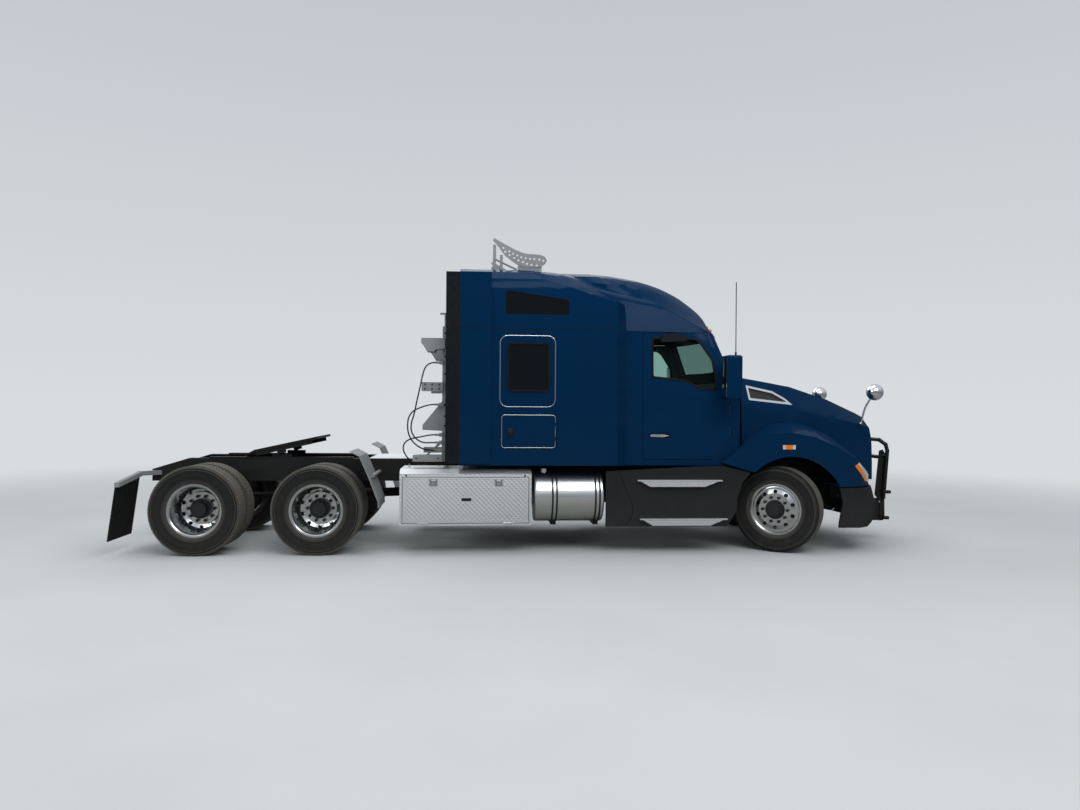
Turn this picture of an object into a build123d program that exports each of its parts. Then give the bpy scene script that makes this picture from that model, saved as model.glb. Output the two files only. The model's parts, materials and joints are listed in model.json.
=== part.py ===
"""Three-axle sleeper tractor unit with a bonnet, in millimetres.

X is forward, Y is left and Z is up. The pieces are drawn with X = 0 at the steering axle and Z = 0 on
the ground, and are moved back by MID_X when they are written, so that the origin of the finished part
is on the ground under the middle of its overall box. Right-hand pieces are drawn first and mirrored
for the left.
"""

import os
from math import cos, pi, radians, sin, tan

from build123d import *

# Axles and wheels
WHEELBASE = 6096.0  # steering axle to the middle of the rear bogie
TANDEM = 1321.0  # between the two drive axles
STEER_DEG = 35.0  # how far the front wheels are turned to the right at rest
KINGPIN_Y = 890.0
TYRE_R = 500.0
TYRE_W = 290.0
TREAD_W = 236.0
BEAD_R = 282.0
BEAD_W = 210.0
FLANGE_R = 298.0
FLANGE_T = 14.0
STEER_TYRE_Y = 1075.0  # middle of the front tyre when it points ahead
DUAL_OUT_Y = 1075.0  # middle of the outer rear tyre
DUAL_PITCH = 340.0
STEER_DISH = 130.0  # how far the disc stands out of the rim's middle
DISC_T = 22.0
HUB_R = 112.0
AXLE_STUB_R = 60.0
HAND_HOLES = 10
HAND_HOLE_R = 23.0
HAND_HOLE_PITCH_R = 209.0
STUDS = 10
STUD_PITCH_R = 142.9
NUT_R = 19.0
ARM = 210.0  # steering arm length
TIE_Z = TYRE_R - 155
BEAM_Z = TYRE_R - 50

# Frame
RAIL_OUT_Y = 432.0
RAIL_TOP = 1035.0
RAIL_H = 270.0
RAIL_BOTTOM = RAIL_TOP - RAIL_H
RAIL_FLANGE = 90.0
RAIL_T = 9.5
RAIL_FRONT = 1090.0
RAIL_TAIL = 420.0  # length of the tapered tail
RAIL_TAIL_H = 130.0
FLOOR_UNDER = RAIL_TOP + 25
FLOOR_TOP = FLOOR_UNDER + 50

# Cab and sleeper
BODY_FLOOR = RAIL_TOP - 25
ROOF_JOINT = 2560.0
WALL = 50.0
SLEEPER_W = 1220.0  # half width
CAB_W = 1120.0  # half width at the belt
SLEEPER_REAR = -3860.0
SLEEPER_SHOULDER = -2060.0
SLEEPER_FRONT = -1940.0
ROOF_T = 45.0
GLASS_T = 6.0

GAP = 6.0  # shut line round doors and lids
FIT = 0.3  # gap between faces that bear on each other
PIN_R = 12.0
BODY_GAP = 14.0  # between the hood and the cab

# Overall reach, which sets the origin
BOGIE_X = -WHEELBASE
DRIVE_XS = {"forward": BOGIE_X + TANDEM / 2, "rear": BOGIE_X - TANDEM / 2}
RAIL_REAR = BOGIE_X - 1404
NOSE_X = 1590.0  # grille guard's latch knob
TAIL_X = RAIL_REAR - 172  # lower edge of the mud flaps
MID_X = (NOSE_X + TAIL_X) / 2

parts = {}


def block(x0, x1, y0, y1, z0, z1):
    """A box from its lowest to its highest corner."""
    size = (abs(x1 - x0), abs(y1 - y0), abs(z1 - z0))
    return Pos((x0 + x1) / 2, (y0 + y1) / 2, (z0 + z1) / 2) * Box(*size)


def both(shape):
    """A right-hand shape with its mirror image on the left."""
    return [shape, mirror(shape, Plane.XZ)]


def put(name, shape):
    """Files a right-hand piece and its mirror image as two nodes."""
    parts[f"{name}_right"] = shape
    parts[f"{name}_left"] = mirror(shape, Plane.XZ)


def outline(points, by=0.0, r=0.0):
    """A flat face from corner points, moved outwards by a distance and with rounded corners."""
    face = make_face(Polyline(*points, close=True))
    if by:
        face = offset(face, amount=by, kind=Kind.INTERSECTION)
    return fillet(face.vertices(), r) if r else face


def side_prism(points, y0, y1, by=0.0, r=0.0):
    """An outline in X and Z, pushed out from y0 to y1."""
    low = min(y0, y1)
    return Pos(0, low, 0) * Rot(90, 0, 0) * extrude(outline(points, by, r), amount=-abs(y1 - y0))


def plan_prism(points, z0, z1, by=0.0):
    """An outline in X and Y, pushed up from z0 to z1."""
    return Pos(0, 0, z0) * extrude(outline(points, by), amount=z1 - z0)


def front_prism(points, x0, x1, by=0.0):
    """An outline in Y and Z, pushed along X."""
    face = Plane.YZ * outline(points, by)
    return Pos(x0, 0, 0) * extrude(face, amount=x1 - x0, dir=(1, 0, 0))


def rod_x(x0, x1, y, z, r):
    return Pos((x0 + x1) / 2, y, z) * Rot(0, 90, 0) * Cylinder(r, abs(x1 - x0))


def rod_y(y0, y1, x, z, r):
    return Pos(x, (y0 + y1) / 2, z) * Rot(90, 0, 0) * Cylinder(r, abs(y1 - y0))


def rod_z(z0, z1, x, y, r):
    return Pos(x, y, (z0 + z1) / 2) * Cylinder(r, abs(z1 - z0))


def rod(a, b, r):
    """A round bar from point a to point b."""
    way = Vector(*b) - Vector(*a)
    return Plane(origin=Vector(*a) + way / 2, z_dir=way).location * Cylinder(r, way.length)


def hexagon_y(y0, y1, x, z, r):
    """A six-sided nut along Y."""
    return Pos(x, min(y0, y1), z) * Rot(90, 0, 0) * extrude(RegularPolygon(r, 6), amount=-abs(y1 - y0))


def turned(profile, x, z):
    """A profile of (y, radius) pairs turned about the axle through x and z."""
    face = make_face(Plane.XY * Polyline(*[(r, y) for y, r in profile], close=True))
    if face.face().normal_at().Z < 0:
        face = -face.face()
    return Pos(x, 0, z) * revolve(face, Axis.Y)


def hinge(place, length=40.0, leaf=22.0):
    """Pin and leaves of a hinge on local Z, with the fixed panel on its +X side and outwards +Y.

    Returns what joins the fixed panel, what joins the moving one, and what both give way to.
    """
    half = length / 2
    knuckle, pin = 9.0, 5.0
    fixed = Cylinder(pin, 3 * length)
    for s in (-1, 1):
        z0, z1 = sorted((s * (half + 3), s * 1.5 * length))
        fixed += rod_z(z0, z1, 0, 0, knuckle) + block(0, leaf, -5, 3, z0, z1)
    moving = rod_z(-half, half, 0, 0, knuckle) + block(-leaf, 0, -5, 3, -half, half)
    moving -= Cylinder(pin + FIT, length + 1)
    room = Cylinder(knuckle + 3, 3 * length + 6)
    return place * fixed, place * moving, place * room


def add_hinges(fixed, moving, places):
    """Fits hinges between a fixed panel and a moving one."""
    for place in places:
        fixed_leaf, moving_leaf, room = hinge(place)
        fixed = fixed - room + fixed_leaf
        moving = moving - room + moving_leaf
    return fixed, moving


# Wheels and tyres


def tyre(x, y_mid):
    half, tread, bead = TYRE_W / 2, TREAD_W / 2, BEAD_W / 2
    side = [
        (bead - FIT, BEAD_R),
        (bead - FIT, FLANGE_R + FIT),
        (bead + FLANGE_T, FLANGE_R + FIT),
        (half - 3, BEAD_R + 60),
        (half, BEAD_R + 110),
        (half - 4, TYRE_R - 60),
        (tread, TYRE_R - 8),
        (tread - 30, TYRE_R),
    ]
    profile = side + [(-y, r) for y, r in reversed(side)]
    return turned([(y + y_mid, r) for y, r in profile], x, TYRE_R)


def rim(x, y_mid, out, depth):
    """A rim with its disc depth away from its middle, on the side away from out."""
    bead, well = BEAD_W / 2, BEAD_R - 24
    edge = bead + FLANGE_T
    lip = [(edge, FLANGE_R - 18), (edge, FLANGE_R), (bead, FLANGE_R), (bead, BEAD_R - FIT)]
    back = [(-y, r) for y, r in reversed(lip)]
    disc = [
        (-bead - 4, BEAD_R - 14),
        (-bead - 7, well),
        (-depth + 18, BEAD_R - 46),
        (-depth, BEAD_R - 92),
        (-depth, HUB_R - 12),
        (-depth + DISC_T, HUB_R - 12),
        (-depth + DISC_T, BEAD_R - 98),
        (-depth + DISC_T + 18, BEAD_R - 60),
        (-bead + 21, BEAD_R - 32),
        (bead - 20, well),
        (bead + 4, BEAD_R - 14),
    ]
    return turned([(y * out + y_mid, r) for y, r in lip + back + disc], x, TYRE_R)


def around(count, pitch_r, x, turn=0.5):
    """Places of bolts or holes round an axle."""
    for i in range(count):
        a = 2 * pi * (i + turn) / count
        yield x + pitch_r * cos(a), TYRE_R + pitch_r * sin(a)


def hand_holes(wheel, x, y0, y1):
    for hole_x, hole_z in around(HAND_HOLES, HAND_HOLE_PITCH_R, x):
        wheel -= rod_y(y0, y1, hole_x, hole_z, HAND_HOLE_R)
    return wheel


def steer_wheel():
    """Rim, hub and cap of the right front wheel, pointing ahead."""
    face = -STEER_TYRE_Y - STEER_DISH
    wheel = rim(0, -STEER_TYRE_Y, 1, STEER_DISH)
    wheel = hand_holes(wheel, 0, face - 20, face + 120)
    wheel += rod_y(-STEER_TYRE_Y + 60, face - 8, 0, TYRE_R, HUB_R)
    wheel += rod_y(face - 8, face - 30, 0, TYRE_R, HUB_R - 18) + rod_y(face - 30, face - 52, 0, TYRE_R, HUB_R - 42)
    wheel -= rod_y(-STEER_TYRE_Y + 61, -STEER_TYRE_Y - 21, 0, TYRE_R, AXLE_STUB_R + FIT)
    for x, z in around(STUDS, STUD_PITCH_R, 0, 0):
        wheel += hexagon_y(face - 28, face + 2, x, z, NUT_R)
    return wheel


def drive_wheels(x):
    """Two right-hand rims bolted back to back on one hub."""
    mid = -DUAL_OUT_Y + DUAL_PITCH / 2
    depth = DUAL_PITCH / 2
    outer = hand_holes(rim(x, -DUAL_OUT_Y, -1, depth + 1), x, mid + 1, mid - 110)
    wheel = outer + rim(x, -DUAL_OUT_Y + DUAL_PITCH, 1, depth)
    face = mid - DISC_T
    wheel += rod_y(mid + 110, face - 62, x, TYRE_R, HUB_R) + rod_y(face - 62, face - 112, x, TYRE_R, HUB_R - 34)
    wheel -= rod_y(mid + 111, mid - 41, x, TYRE_R, AXLE_STUB_R + FIT)
    for nut_x, nut_z in around(STUDS, STUD_PITCH_R, x, 0):
        wheel += hexagon_y(face - 32, face + 2, nut_x, nut_z, NUT_R)
    for nut_x, nut_z in around(8, HUB_R - 18, x, 0):
        wheel += hexagon_y(face - 74, face - 60, nut_x, nut_z, 10)
    return wheel


def steered(shape):
    """Turns a right-hand front-wheel piece about its kingpin to where it stands at rest."""
    return Pos(0, -KINGPIN_Y, 0) * Rot(0, 0, -STEER_DEG) * Pos(0, KINGPIN_Y, 0) * shape


def steered_left(shape):
    """The same for the left: mirrored while it points ahead, then turned."""
    return Pos(0, KINGPIN_Y, 0) * Rot(0, 0, -STEER_DEG) * Pos(0, -KINGPIN_Y, 0) * mirror(shape, Plane.XZ)


def put_steered(name, shape):
    parts[f"{name}_right"] = steered(shape)
    parts[f"{name}_left"] = steered_left(shape)


def knuckle():
    y = -KINGPIN_Y
    shape = rod_z(TYRE_R - 130, TYRE_R + 130, 0, y, 24)
    for z0, z1 in ((TYRE_R - 130, TYRE_R - 76), (TYRE_R + 76, TYRE_R + 130)):
        shape += rod_z(z0, z1, 0, y, 55) + block(-45, 45, y, y - 85, z0, z1)
    shape += block(-50, 50, y - 55, y - 95, TYRE_R - 130, TYRE_R + 130)
    shape += rod_y(y - 90, -STEER_TYRE_Y - 15, 0, TYRE_R, AXLE_STUB_R)
    shape += block(-ARM, 0, y - 22, y + 22, TYRE_R - 130, TYRE_R - 100)
    return shape + rod_z(TIE_Z - 22, TYRE_R - 120, -ARM, y, 18)


def tie_rod():
    """Parallel to the axle at every lock."""
    tie = rod_y(-KINGPIN_Y + 30, KINGPIN_Y - 30, 0, TIE_Z, 18)
    for y in (-KINGPIN_Y, KINGPIN_Y):
        tie += rod_z(TIE_Z - 20, TIE_Z + 20, 0, y, 38)
    for y in (-KINGPIN_Y, KINGPIN_Y):
        tie -= rod_z(TIE_Z - 30, TIE_Z + 30, 0, y, 18 + FIT)
    return Pos(-ARM * cos(radians(STEER_DEG)), ARM * sin(radians(STEER_DEG)), 0) * tie


def front_axle():
    reach = KINGPIN_Y - 120
    beam = block(-50, 50, -reach, reach, BEAM_Z - 60, BEAM_Z + 40)
    for y in (-KINGPIN_Y, KINGPIN_Y):
        inner = y * (1 - 150 / KINGPIN_Y)
        beam += rod_z(TYRE_R - 75, TYRE_R + 75, 0, y, 45)
        beam += block(-40, 40, inner, y * (1 - 20 / KINGPIN_Y), TYRE_R - 70, TYRE_R + 50)
        beam -= rod_z(TYRE_R - 80, TYRE_R + 80, 0, y, 24 + FIT)
    springs = []
    y = -RAIL_OUT_Y + 45
    leaf = block(-760, 760, y - 45, y + 45, BEAM_Z + 40, BEAM_Z + 90)
    for x in (-720, 720):
        leaf += block(x - 40, x + 40, y - 40, y + 40, BEAM_Z + 80, RAIL_BOTTOM)
    springs += both(leaf)
    return Compound([beam] + springs)


def drive_axles():
    """Both axles with their housings, and the drive shafts."""
    tip = DUAL_OUT_Y - DUAL_PITCH / 2 + 40
    joint_x = DRIVE_XS["forward"] + 150
    train = rod((ENGINE_REAR, 0, 700), (joint_x, 0, 570), 55)
    train += rod((joint_x - 300, 0, 540), (DRIVE_XS["rear"] + 150, 0, 540), 45)
    for x in DRIVE_XS.values():
        train += rod_y(-tip, tip, x, TYRE_R, AXLE_STUB_R)
        train += block(x - 75, x + 75, -560, 560, TYRE_R - 75, TYRE_R + 75)
        train += Pos(x, 0, TYRE_R) * Sphere(215)
    return train - block(ENGINE_REAR, 0, -250, 250, 600, 960)


def rear_suspension():
    hangers = []
    y = -RAIL_OUT_Y - 60
    for x in DRIVE_XS.values():
        arm = block(x - 420, x + 240, y - 40, y + 40, TYRE_R - 150, TYRE_R - 75)
        arm += block(x - 420, x - 340, -RAIL_OUT_Y, y - 40, TYRE_R - 150, RAIL_BOTTOM + 150)
        arm += rod_z(TYRE_R - 76, RAIL_BOTTOM, x + 170, y + 60, 62)
        hangers += both(arm)
    return Compound(hangers)


# Frame

MOUNT_XS = (-3700.0, -2300.0, -1850.0, -800.0)
CROSS_XS = (980.0, -1250.0, -2550.0, -3850.0, BOGIE_X + 1246, BOGIE_X, BOGIE_X - 1054)
HOOD_PIN_X, HOOD_PIN_Z = 1270.0, 803.0
GUARD_PIVOT_X, GUARD_PIVOT_Z = 1490.0, 305.0
GUARD_Y = 384.0  # inner face of the guard's upright plates


def frame():
    t = RAIL_T
    edge = [
        (RAIL_FRONT, RAIL_TOP),
        (RAIL_REAR + RAIL_TAIL, RAIL_TOP),
        (RAIL_REAR, RAIL_TOP - RAIL_TAIL_H),
        (RAIL_REAR, RAIL_BOTTOM),
        (RAIL_FRONT, RAIL_BOTTOM),
    ]
    pocket = [
        (RAIL_FRONT + t, RAIL_TOP - t),
        (RAIL_REAR + RAIL_TAIL, RAIL_TOP - t),
        (RAIL_REAR - t, RAIL_TOP - RAIL_TAIL_H - t - 3),
        (RAIL_REAR - t, RAIL_BOTTOM + t),
        (RAIL_FRONT + t, RAIL_BOTTOM + t),
    ]
    rail = side_prism(edge, -RAIL_OUT_Y, -RAIL_OUT_Y + RAIL_FLANGE)
    rail -= side_prism(pocket, -RAIL_OUT_Y + t, -RAIL_OUT_Y + RAIL_FLANGE + t)
    for x in MOUNT_XS:
        y = -RAIL_OUT_Y + RAIL_FLANGE / 2
        rail += block(x - 50, x + 50, y - 35, y + 35, RAIL_TOP, FLOOR_UNDER)
    # Guard bracket with its pivot pin, and the ear that carries the hood
    y0, y1 = -GUARD_Y + 4, -GUARD_Y + 24
    arm = [
        (RAIL_FRONT - 60, RAIL_BOTTOM + 200),
        (RAIL_FRONT - 60, 400),
        (GUARD_PIVOT_X - 140, 262),
        (GUARD_PIVOT_X + 28, 262),
        (GUARD_PIVOT_X + 28, 345),
        (GUARD_PIVOT_X - 40, 545),
        (GUARD_PIVOT_X - 110, 545),
        (GUARD_PIVOT_X - 150, 470),
        (RAIL_FRONT + 60, 470),
        (RAIL_FRONT + 60, RAIL_BOTTOM + 200),
    ]
    rail += side_prism(arm, y0, y1) + rod_y(y1, -GUARD_Y - 14, GUARD_PIVOT_X, GUARD_PIVOT_Z, PIN_R)
    rail += block(960, HOOD_PIN_X + 20, -280, -300, HOOD_PIN_Z - 18, RAIL_BOTTOM + 60)
    rail += rod_y(-299, -325, HOOD_PIN_X, HOOD_PIN_Z, PIN_R)
    shape = rail + mirror(rail, Plane.XZ)
    reach = RAIL_OUT_Y - t
    for x in CROSS_XS:
        shape += block(x - 40, x + 40, -reach, reach, RAIL_BOTTOM + 60, RAIL_BOTTOM + 200)
    return shape


PIVOT_X, PIVOT_Z = BOGIE_X + 96, RAIL_TOP + 95
PLATE_TILT = 12.5


def fifth_wheel_base():
    """Slide rails with their teeth, and the pivot stands."""
    y = -RAIL_OUT_Y + 50
    rail = block(PIVOT_X - 850, PIVOT_X + 850, y - 45, y + 45, RAIL_TOP, RAIL_TOP + 16)
    for i in range(14):
        x = PIVOT_X - 790 + 50 * i
        rail += block(x, x + 26, y - 44, y - 58, RAIL_TOP, RAIL_TOP + 16)
    rail += block(PIVOT_X - 110, PIVOT_X + 110, y - 30, y + 30, RAIL_TOP + 15, PIVOT_Z - 40)
    rail += rod_y(y - 30, y + 30, PIVOT_X, PIVOT_Z, 40)
    rail -= rod_y(y - 31, y + 31, PIVOT_X, PIVOT_Z, 20 + FIT)
    return Compound(both(rail))


def fifth_wheel_plate():
    plate = side_prism([(-425, 40), (-300, 75), (440, 75), (440, 45), (-300, 45), (-425, 24)], -460, 460)
    plate -= plan_prism([(-700, -300), (-700, 300), (-60, 30), (-60, -30)], -40, 100)
    plate += block(-70, 110, -120, 120, 5, 60)
    y = -RAIL_OUT_Y + 50
    for s in (-1, 1):
        plate += block(-50, 50, s * (y - 34), s * (y - 64), -35, 50)
        plate += rod_y(s * (y + 32), s * (y - 48), 0, 0, 20)
        plate += block(-290, 380, s * 434, s * 450, 0, 50)
    plate -= rod_z(-20, 100, 20, 0, 25.9)
    return Pos(PIVOT_X, 0, PIVOT_Z) * Rot(0, -PLATE_TILT, 0) * plate


# Cab


def plan_outline(z, rear, side, corner, nose, r):
    """One level of the cab or roof: straight sides from the rear, and a bowed front with rounded corners.

    side lists (X, half width) from the rear forwards, and corner is where the bow starts.
    """
    right = [(x, -w) for x, w in side] + [(corner[0], -corner[1])]
    left = [(x, -y) for x, y in reversed(right)]
    line = Polyline(*left, (rear, side[0][1]), (rear, -side[0][1]), *right)
    bow = ThreePointArc((corner[0], -corner[1]), (nose, 0), corner)
    face = make_face([line, bow])
    return Pos(0, 0, z) * fillet(face.vertices().group_by(Axis.X)[-1], r)


# Levels of the cab: height, half width behind, half width in front, pillar X, middle of the front X
CAB_LEVELS = (
    (BODY_FLOOR, CAB_W, CAB_W, -585, -400),
    (1780, CAB_W, CAB_W - 4, -600, -420),
    (2060, CAB_W, CAB_W - 40, -700, -500),
    (ROOF_JOINT, CAB_W - 15, CAB_W - 120, -905, -700),
)
# Levels of the roof: height, half width behind, end of the wide part, half width and X of the neck,
# half width and X of the front, middle of the front X
ROOF_LEVELS = (
    (ROOF_JOINT, SLEEPER_W, SLEEPER_SHOULDER, CAB_W - 2, SLEEPER_FRONT, CAB_W - 120, -905, -700),
    (2750, SLEEPER_W, -2055, CAB_W - 35, -1945, CAB_W - 122, -1280, -745),
    (2870, SLEEPER_W - 1, -2052, CAB_W - 65, -1955, CAB_W - 135, -1530, -840),
    (3040, SLEEPER_W - 8, -2600, CAB_W - 10, -2350, CAB_W - 160, -2040, -1064),
    (3130, SLEEPER_W - 40, -2900, CAB_W - 40, -2650, CAB_W - 190, -2350, -1235),
    (3220, SLEEPER_W - 140, -3000, CAB_W - 120, -2750, CAB_W - 270, -2500, -1470),
    (3285, SLEEPER_W - 360, -3100, CAB_W - 320, -2850, CAB_W - 470, -2650, -1780),
    (3325, SLEEPER_W - 770, -3200, CAB_W - 700, -2950, CAB_W - 800, -2850, -2300),
)


def cab_solid(inset):
    levels = []
    for z, w_rear, w_front, corner, nose in CAB_LEVELS:
        side = [(SLEEPER_FRONT + 1, w_rear - inset)]
        front = (corner - inset, w_front - inset)
        levels.append(plan_outline(z, SLEEPER_FRONT, side, front, nose - inset, 60))
    return loft(levels, ruled=True)


def roof_solid(inset):
    levels = []
    rise = ROOF_LEVELS[-1][0] - ROOF_JOINT
    for z, w_rear, shoulder, neck_w, neck, front_w, corner, nose in ROOF_LEVELS:
        top = z - inset * (z - ROOF_JOINT) / rise
        rear = SLEEPER_REAR + inset
        side = [(rear + 1, w_rear - inset), (shoulder, w_rear - inset), (neck, neck_w - inset)]
        levels.append(plan_outline(top, rear, side, (corner - inset, front_w - inset), nose - inset, 60))
    return loft(levels, ruled=True)


DOOR = [
    (-1735, 1080),
    (-1735, ROOF_JOINT + 40),
    (-1030, ROOF_JOINT + 40),
    (-925, 2400),
    (-820, 2200),
    (-745, 1980),
    (-715, 1770),
    (-715, 1310),
    (-914, 1080),
]
DOOR_WINDOW = [
    (-1647, 2015),
    (-1647, 2500),
    (-1105, 2500),
    (-1035, 2450),
    (-893, 2240),
    (-861, 2000),
    (-861, 1882),
    (-1080, 1887),
    (-1235, 1978),
]
DOOR_HINGE_X, DOOR_HINGE_ZS = -712.0, (1400.0, 1660.0)
HANDLE = [(-1665, 1330), (-1665, 1372), (-1440, 1378), (-1400, 1352), (-1440, 1324)]
WIND_BOTTOM, WIND_TOP = 2118.0, ROOF_JOINT - 25
WINDSHIELD = [
    (-CAB_W + 135, WIND_BOTTOM),
    (CAB_W - 135, WIND_BOTTOM),
    (CAB_W - 215, WIND_TOP),
    (-CAB_W + 215, WIND_TOP),
]


def through(points, by=0.0, r=0.0):
    """A prism through the whole body in Y from a side outline."""
    return side_prism(points, -1500, 1500, by, r)


def right_of(y):
    return block(-9000, 3000, -1500, -y, 0, 3600)


def cab_and_doors():
    skin = cab_solid(0) - (cab_solid(WALL) & block(-9000, 3000, -2000, 2000, FLOOR_TOP, ROOF_JOINT + 10))
    skin -= block(-9000, 3000, -CAB_W + WALL, CAB_W - WALL, BODY_FLOOR - 10, FLOOR_UNDER)
    skin &= right_of(0)
    # The door keeps clear of the floor and of the pillar behind it
    band = right_of(CAB_W - 260) - block(-9000, 3000, -CAB_W + WALL + GAP, 0, 0, FLOOR_TOP + 1)
    door_band = right_of(CAB_W - 260 + GAP) - block(-9000, 3000, -CAB_W + WALL, 0, 0, FLOOR_TOP + 1)
    door = skin & door_band & through(DOOR) & block(-9000, 0, -1500, 0, 0, ROOF_JOINT - GAP)
    door -= through(DOOR_WINDOW, r=18)
    door -= side_prism(HANDLE, -CAB_W - 5, -CAB_W + 22, r=8)
    shell = skin - (through(DOOR, GAP) & band)
    hinges = [Pos(DOOR_HINGE_X, -CAB_W + 1, z) * Rot(180, 0, 0) for z in DOOR_HINGE_ZS]
    shell, door = add_hinges(shell, door, hinges)
    shell += mirror(shell, Plane.XZ)
    parts["cab_shell"] = shell - front_prism(WINDSHIELD, -1000, 400)
    pane = cab_solid(18) - cab_solid(18 + GLASS_T)
    parts["windshield"] = pane & front_prism(WINDSHIELD, -1000, 400, -FIT)
    put("door", door)
    put("door_glass", pane & through(DOOR_WINDOW, -FIT, 18 - FIT) & band)
    return door


def door_mirror(door):
    """Main mirror on its two arms, all outside the door skin."""
    y_door, y_head = -CAB_W, -CAB_W - 120
    head = block(-865, -685, y_head, y_head - 250, 1775, 2275)
    head = fillet(head.edges(), 28)
    head -= block(-880, -855, y_head - 22, y_head - 228, 1800, 2250)
    for z in (1835, 1890):
        head += rod((-790, y_door + 12, z), (-778, y_head - 60, z + 20), 14)
    return head - door


def mirror_extras(door):
    """Look-down mirror over the right door window, and the aerial on the right mirror."""
    y = -CAB_W
    shell = [(-1556, 2430), (-1540, 2515), (-1290, 2518), (-1264, 2480), (-1280, 2440)]
    housing = side_prism(shell, y - 25, y - 130, r=10) + block(-1450, -1370, y + 90, y - 40, 2506, 2540)
    aerial = rod_z(2240, 3100, -745, y - 290, 5) + rod_z(2240, 2310, -745, y - 290, 11)
    return housing - door, aerial


# Sleeper and roof
SLEEPER_DOOR = [(-3385, 1205), (-2760, 1205), (-2760, 1590), (-3385, 1590)]
LOCKER_HINGE_X, LOCKER_HINGE_ZS = -2757.0, (1315.0, 1480.0)
SLEEPER_WINDOW = [(-3323, 1840), (-2832, 1840), (-2832, 2405), (-3323, 2405)]
ROOF_WINDOW = [(-3338, 2725), (-2619, 2725), (-2621, 2896), (-3338, 2997)]


def sleeper():
    wide, neck = -SLEEPER_W, -CAB_W
    plan = [(SLEEPER_REAR, 0), (SLEEPER_REAR, wide), (SLEEPER_SHOULDER, wide), (SLEEPER_FRONT, neck), (SLEEPER_FRONT, 0)]
    shell = plan_prism(plan, BODY_FLOOR, ROOF_JOINT - FIT)
    corner = shell.edges().filter_by(Axis.Z).sort_by_distance((SLEEPER_REAR, wide, 1800))[0]
    shell = fillet(corner, 40)
    inner = [
        (SLEEPER_REAR + WALL, 1),
        (SLEEPER_REAR + WALL, wide + WALL),
        (SLEEPER_SHOULDER - 10, wide + WALL),
        (SLEEPER_FRONT + 1, neck + WALL),
        (SLEEPER_FRONT + 1, 1),
    ]
    shell -= plan_prism(inner, FLOOR_TOP, ROOF_JOINT)
    shell -= block(SLEEPER_REAR - 1, SLEEPER_FRONT + 1, neck + WALL, 1, BODY_FLOOR - 1, FLOOR_UNDER)
    door = shell & through(SLEEPER_DOOR, r=40) & right_of(SLEEPER_W - 100)
    shell = shell - through(SLEEPER_DOOR, GAP, 46) - through(SLEEPER_WINDOW, r=50)
    hinges = [Pos(LOCKER_HINGE_X, wide - 3, z) * Rot(180, 0, 0) for z in LOCKER_HINGE_ZS]
    shell, door = add_hinges(shell, door, hinges)
    parts["sleeper_shell"] = shell + mirror(shell, Plane.XZ)
    put("locker_door", door)
    pane = side_prism(SLEEPER_WINDOW, wide + 12, wide + 18, -FIT, 50 - FIT)
    roof_pane = side_prism(ROOF_WINDOW, wide + 18, wide + 24, -FIT, 30 - FIT)
    parts["sleeper_glass"] = Compound(both(pane) + both(roof_pane))
    roof = roof_solid(0) - Pos(0, 0, -1) * roof_solid(ROOF_T)
    parts["roof_cap"] = roof - through(ROOF_WINDOW, r=30)


# Side extenders behind the sleeper
EXT_FRONT, EXT_SKIN_REAR, EXT_REAR = SLEEPER_REAR + 360, SLEEPER_REAR + 8, SLEEPER_REAR - 150
EXT_Z0, EXT_Z1 = RAIL_TOP - 5, 3190.0
EXT_T = 20.0


def extenders():
    skin_y, out_y = -SLEEPER_W - FIT, -SLEEPER_W - FIT - EXT_T
    skin = block(EXT_SKIN_REAR, EXT_FRONT, out_y, skin_y, EXT_Z0, EXT_Z1)
    strip = block(EXT_REAR, EXT_SKIN_REAR - FIT, out_y, skin_y, EXT_Z0, EXT_Z1)
    parts["side_extenders"] = Compound(both(skin))
    parts["extender_edges"] = Compound(both(strip))


# Hood
HOOD_WALL = 25.0
HOOD_BOTTOM = HOOD_PIN_Z - 3
# Sections of the hood: X, half width low down, crease half width, crease height, shoulder half width,
# shoulder height, top
HOOD_SECTIONS = (
    (-720, CAB_W - 35, CAB_W - 100, 1770, CAB_W - 260, 2070, 2135),
    (150, CAB_W - 220, CAB_W - 270, 1660, CAB_W - 430, 1945, 1990),
    (700, CAB_W - 390, CAB_W - 430, 1570, CAB_W - 580, 1790, 1835),
    (1120, CAB_W - 510, CAB_W - 550, 1490, CAB_W - 680, 1620, 1655),
    (1320, CAB_W - 585, CAB_W - 615, 1410, CAB_W - 735, 1525, 1555),
)
NOSE = [
    (-900, 600),
    (1277, 600),
    (1290, 1000),
    (1288, 1285),
    (1255, 1450),
    (1205, 1575),
    (1150, 1700),
    (1150, 2400),
    (-900, 2400),
]
ARCH_R = TYRE_R + 140
ARCH_Z = TYRE_R - 22
# Side outlines of the right fender at its outer edge and where it meets the hood
FENDER_OUT = [
    (-480, 945),
    (-835, 1050),
    (-576, 1238),
    (-306, 1377),
    (-34, 1402),
    (268, 1349),
    (543, 1230),
    (765, 1084),
    (960, 870),
    (985, 769),
    (560, 769),
]
FENDER_IN = [
    (-480, 945),
    (-790, 1055),
    (-443, 1374),
    (-163, 1500),
    (119, 1520),
    (403, 1461),
    (689, 1297),
    (890, 1132),
    (1030, 930),
    (1060, 769),
    (560, 769),
]
FENDER_IN_Y = SLEEPER_W - 320
FENDER_PLAN = [
    (-900, -300),
    (-900, -SLEEPER_W),
    (640, -SLEEPER_W),
    (860, -SLEEPER_W + 70),
    (1010, -SLEEPER_W + 210),
    (1075, -SLEEPER_W + 370),
    (1110, -SLEEPER_W + 720),
    (1110, -300),
]
LAMP = [(776, 998), (767, 1013), (850, 1066), (1150, 1030), (1150, 800), (1000, 808), (925, 832)]
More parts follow.
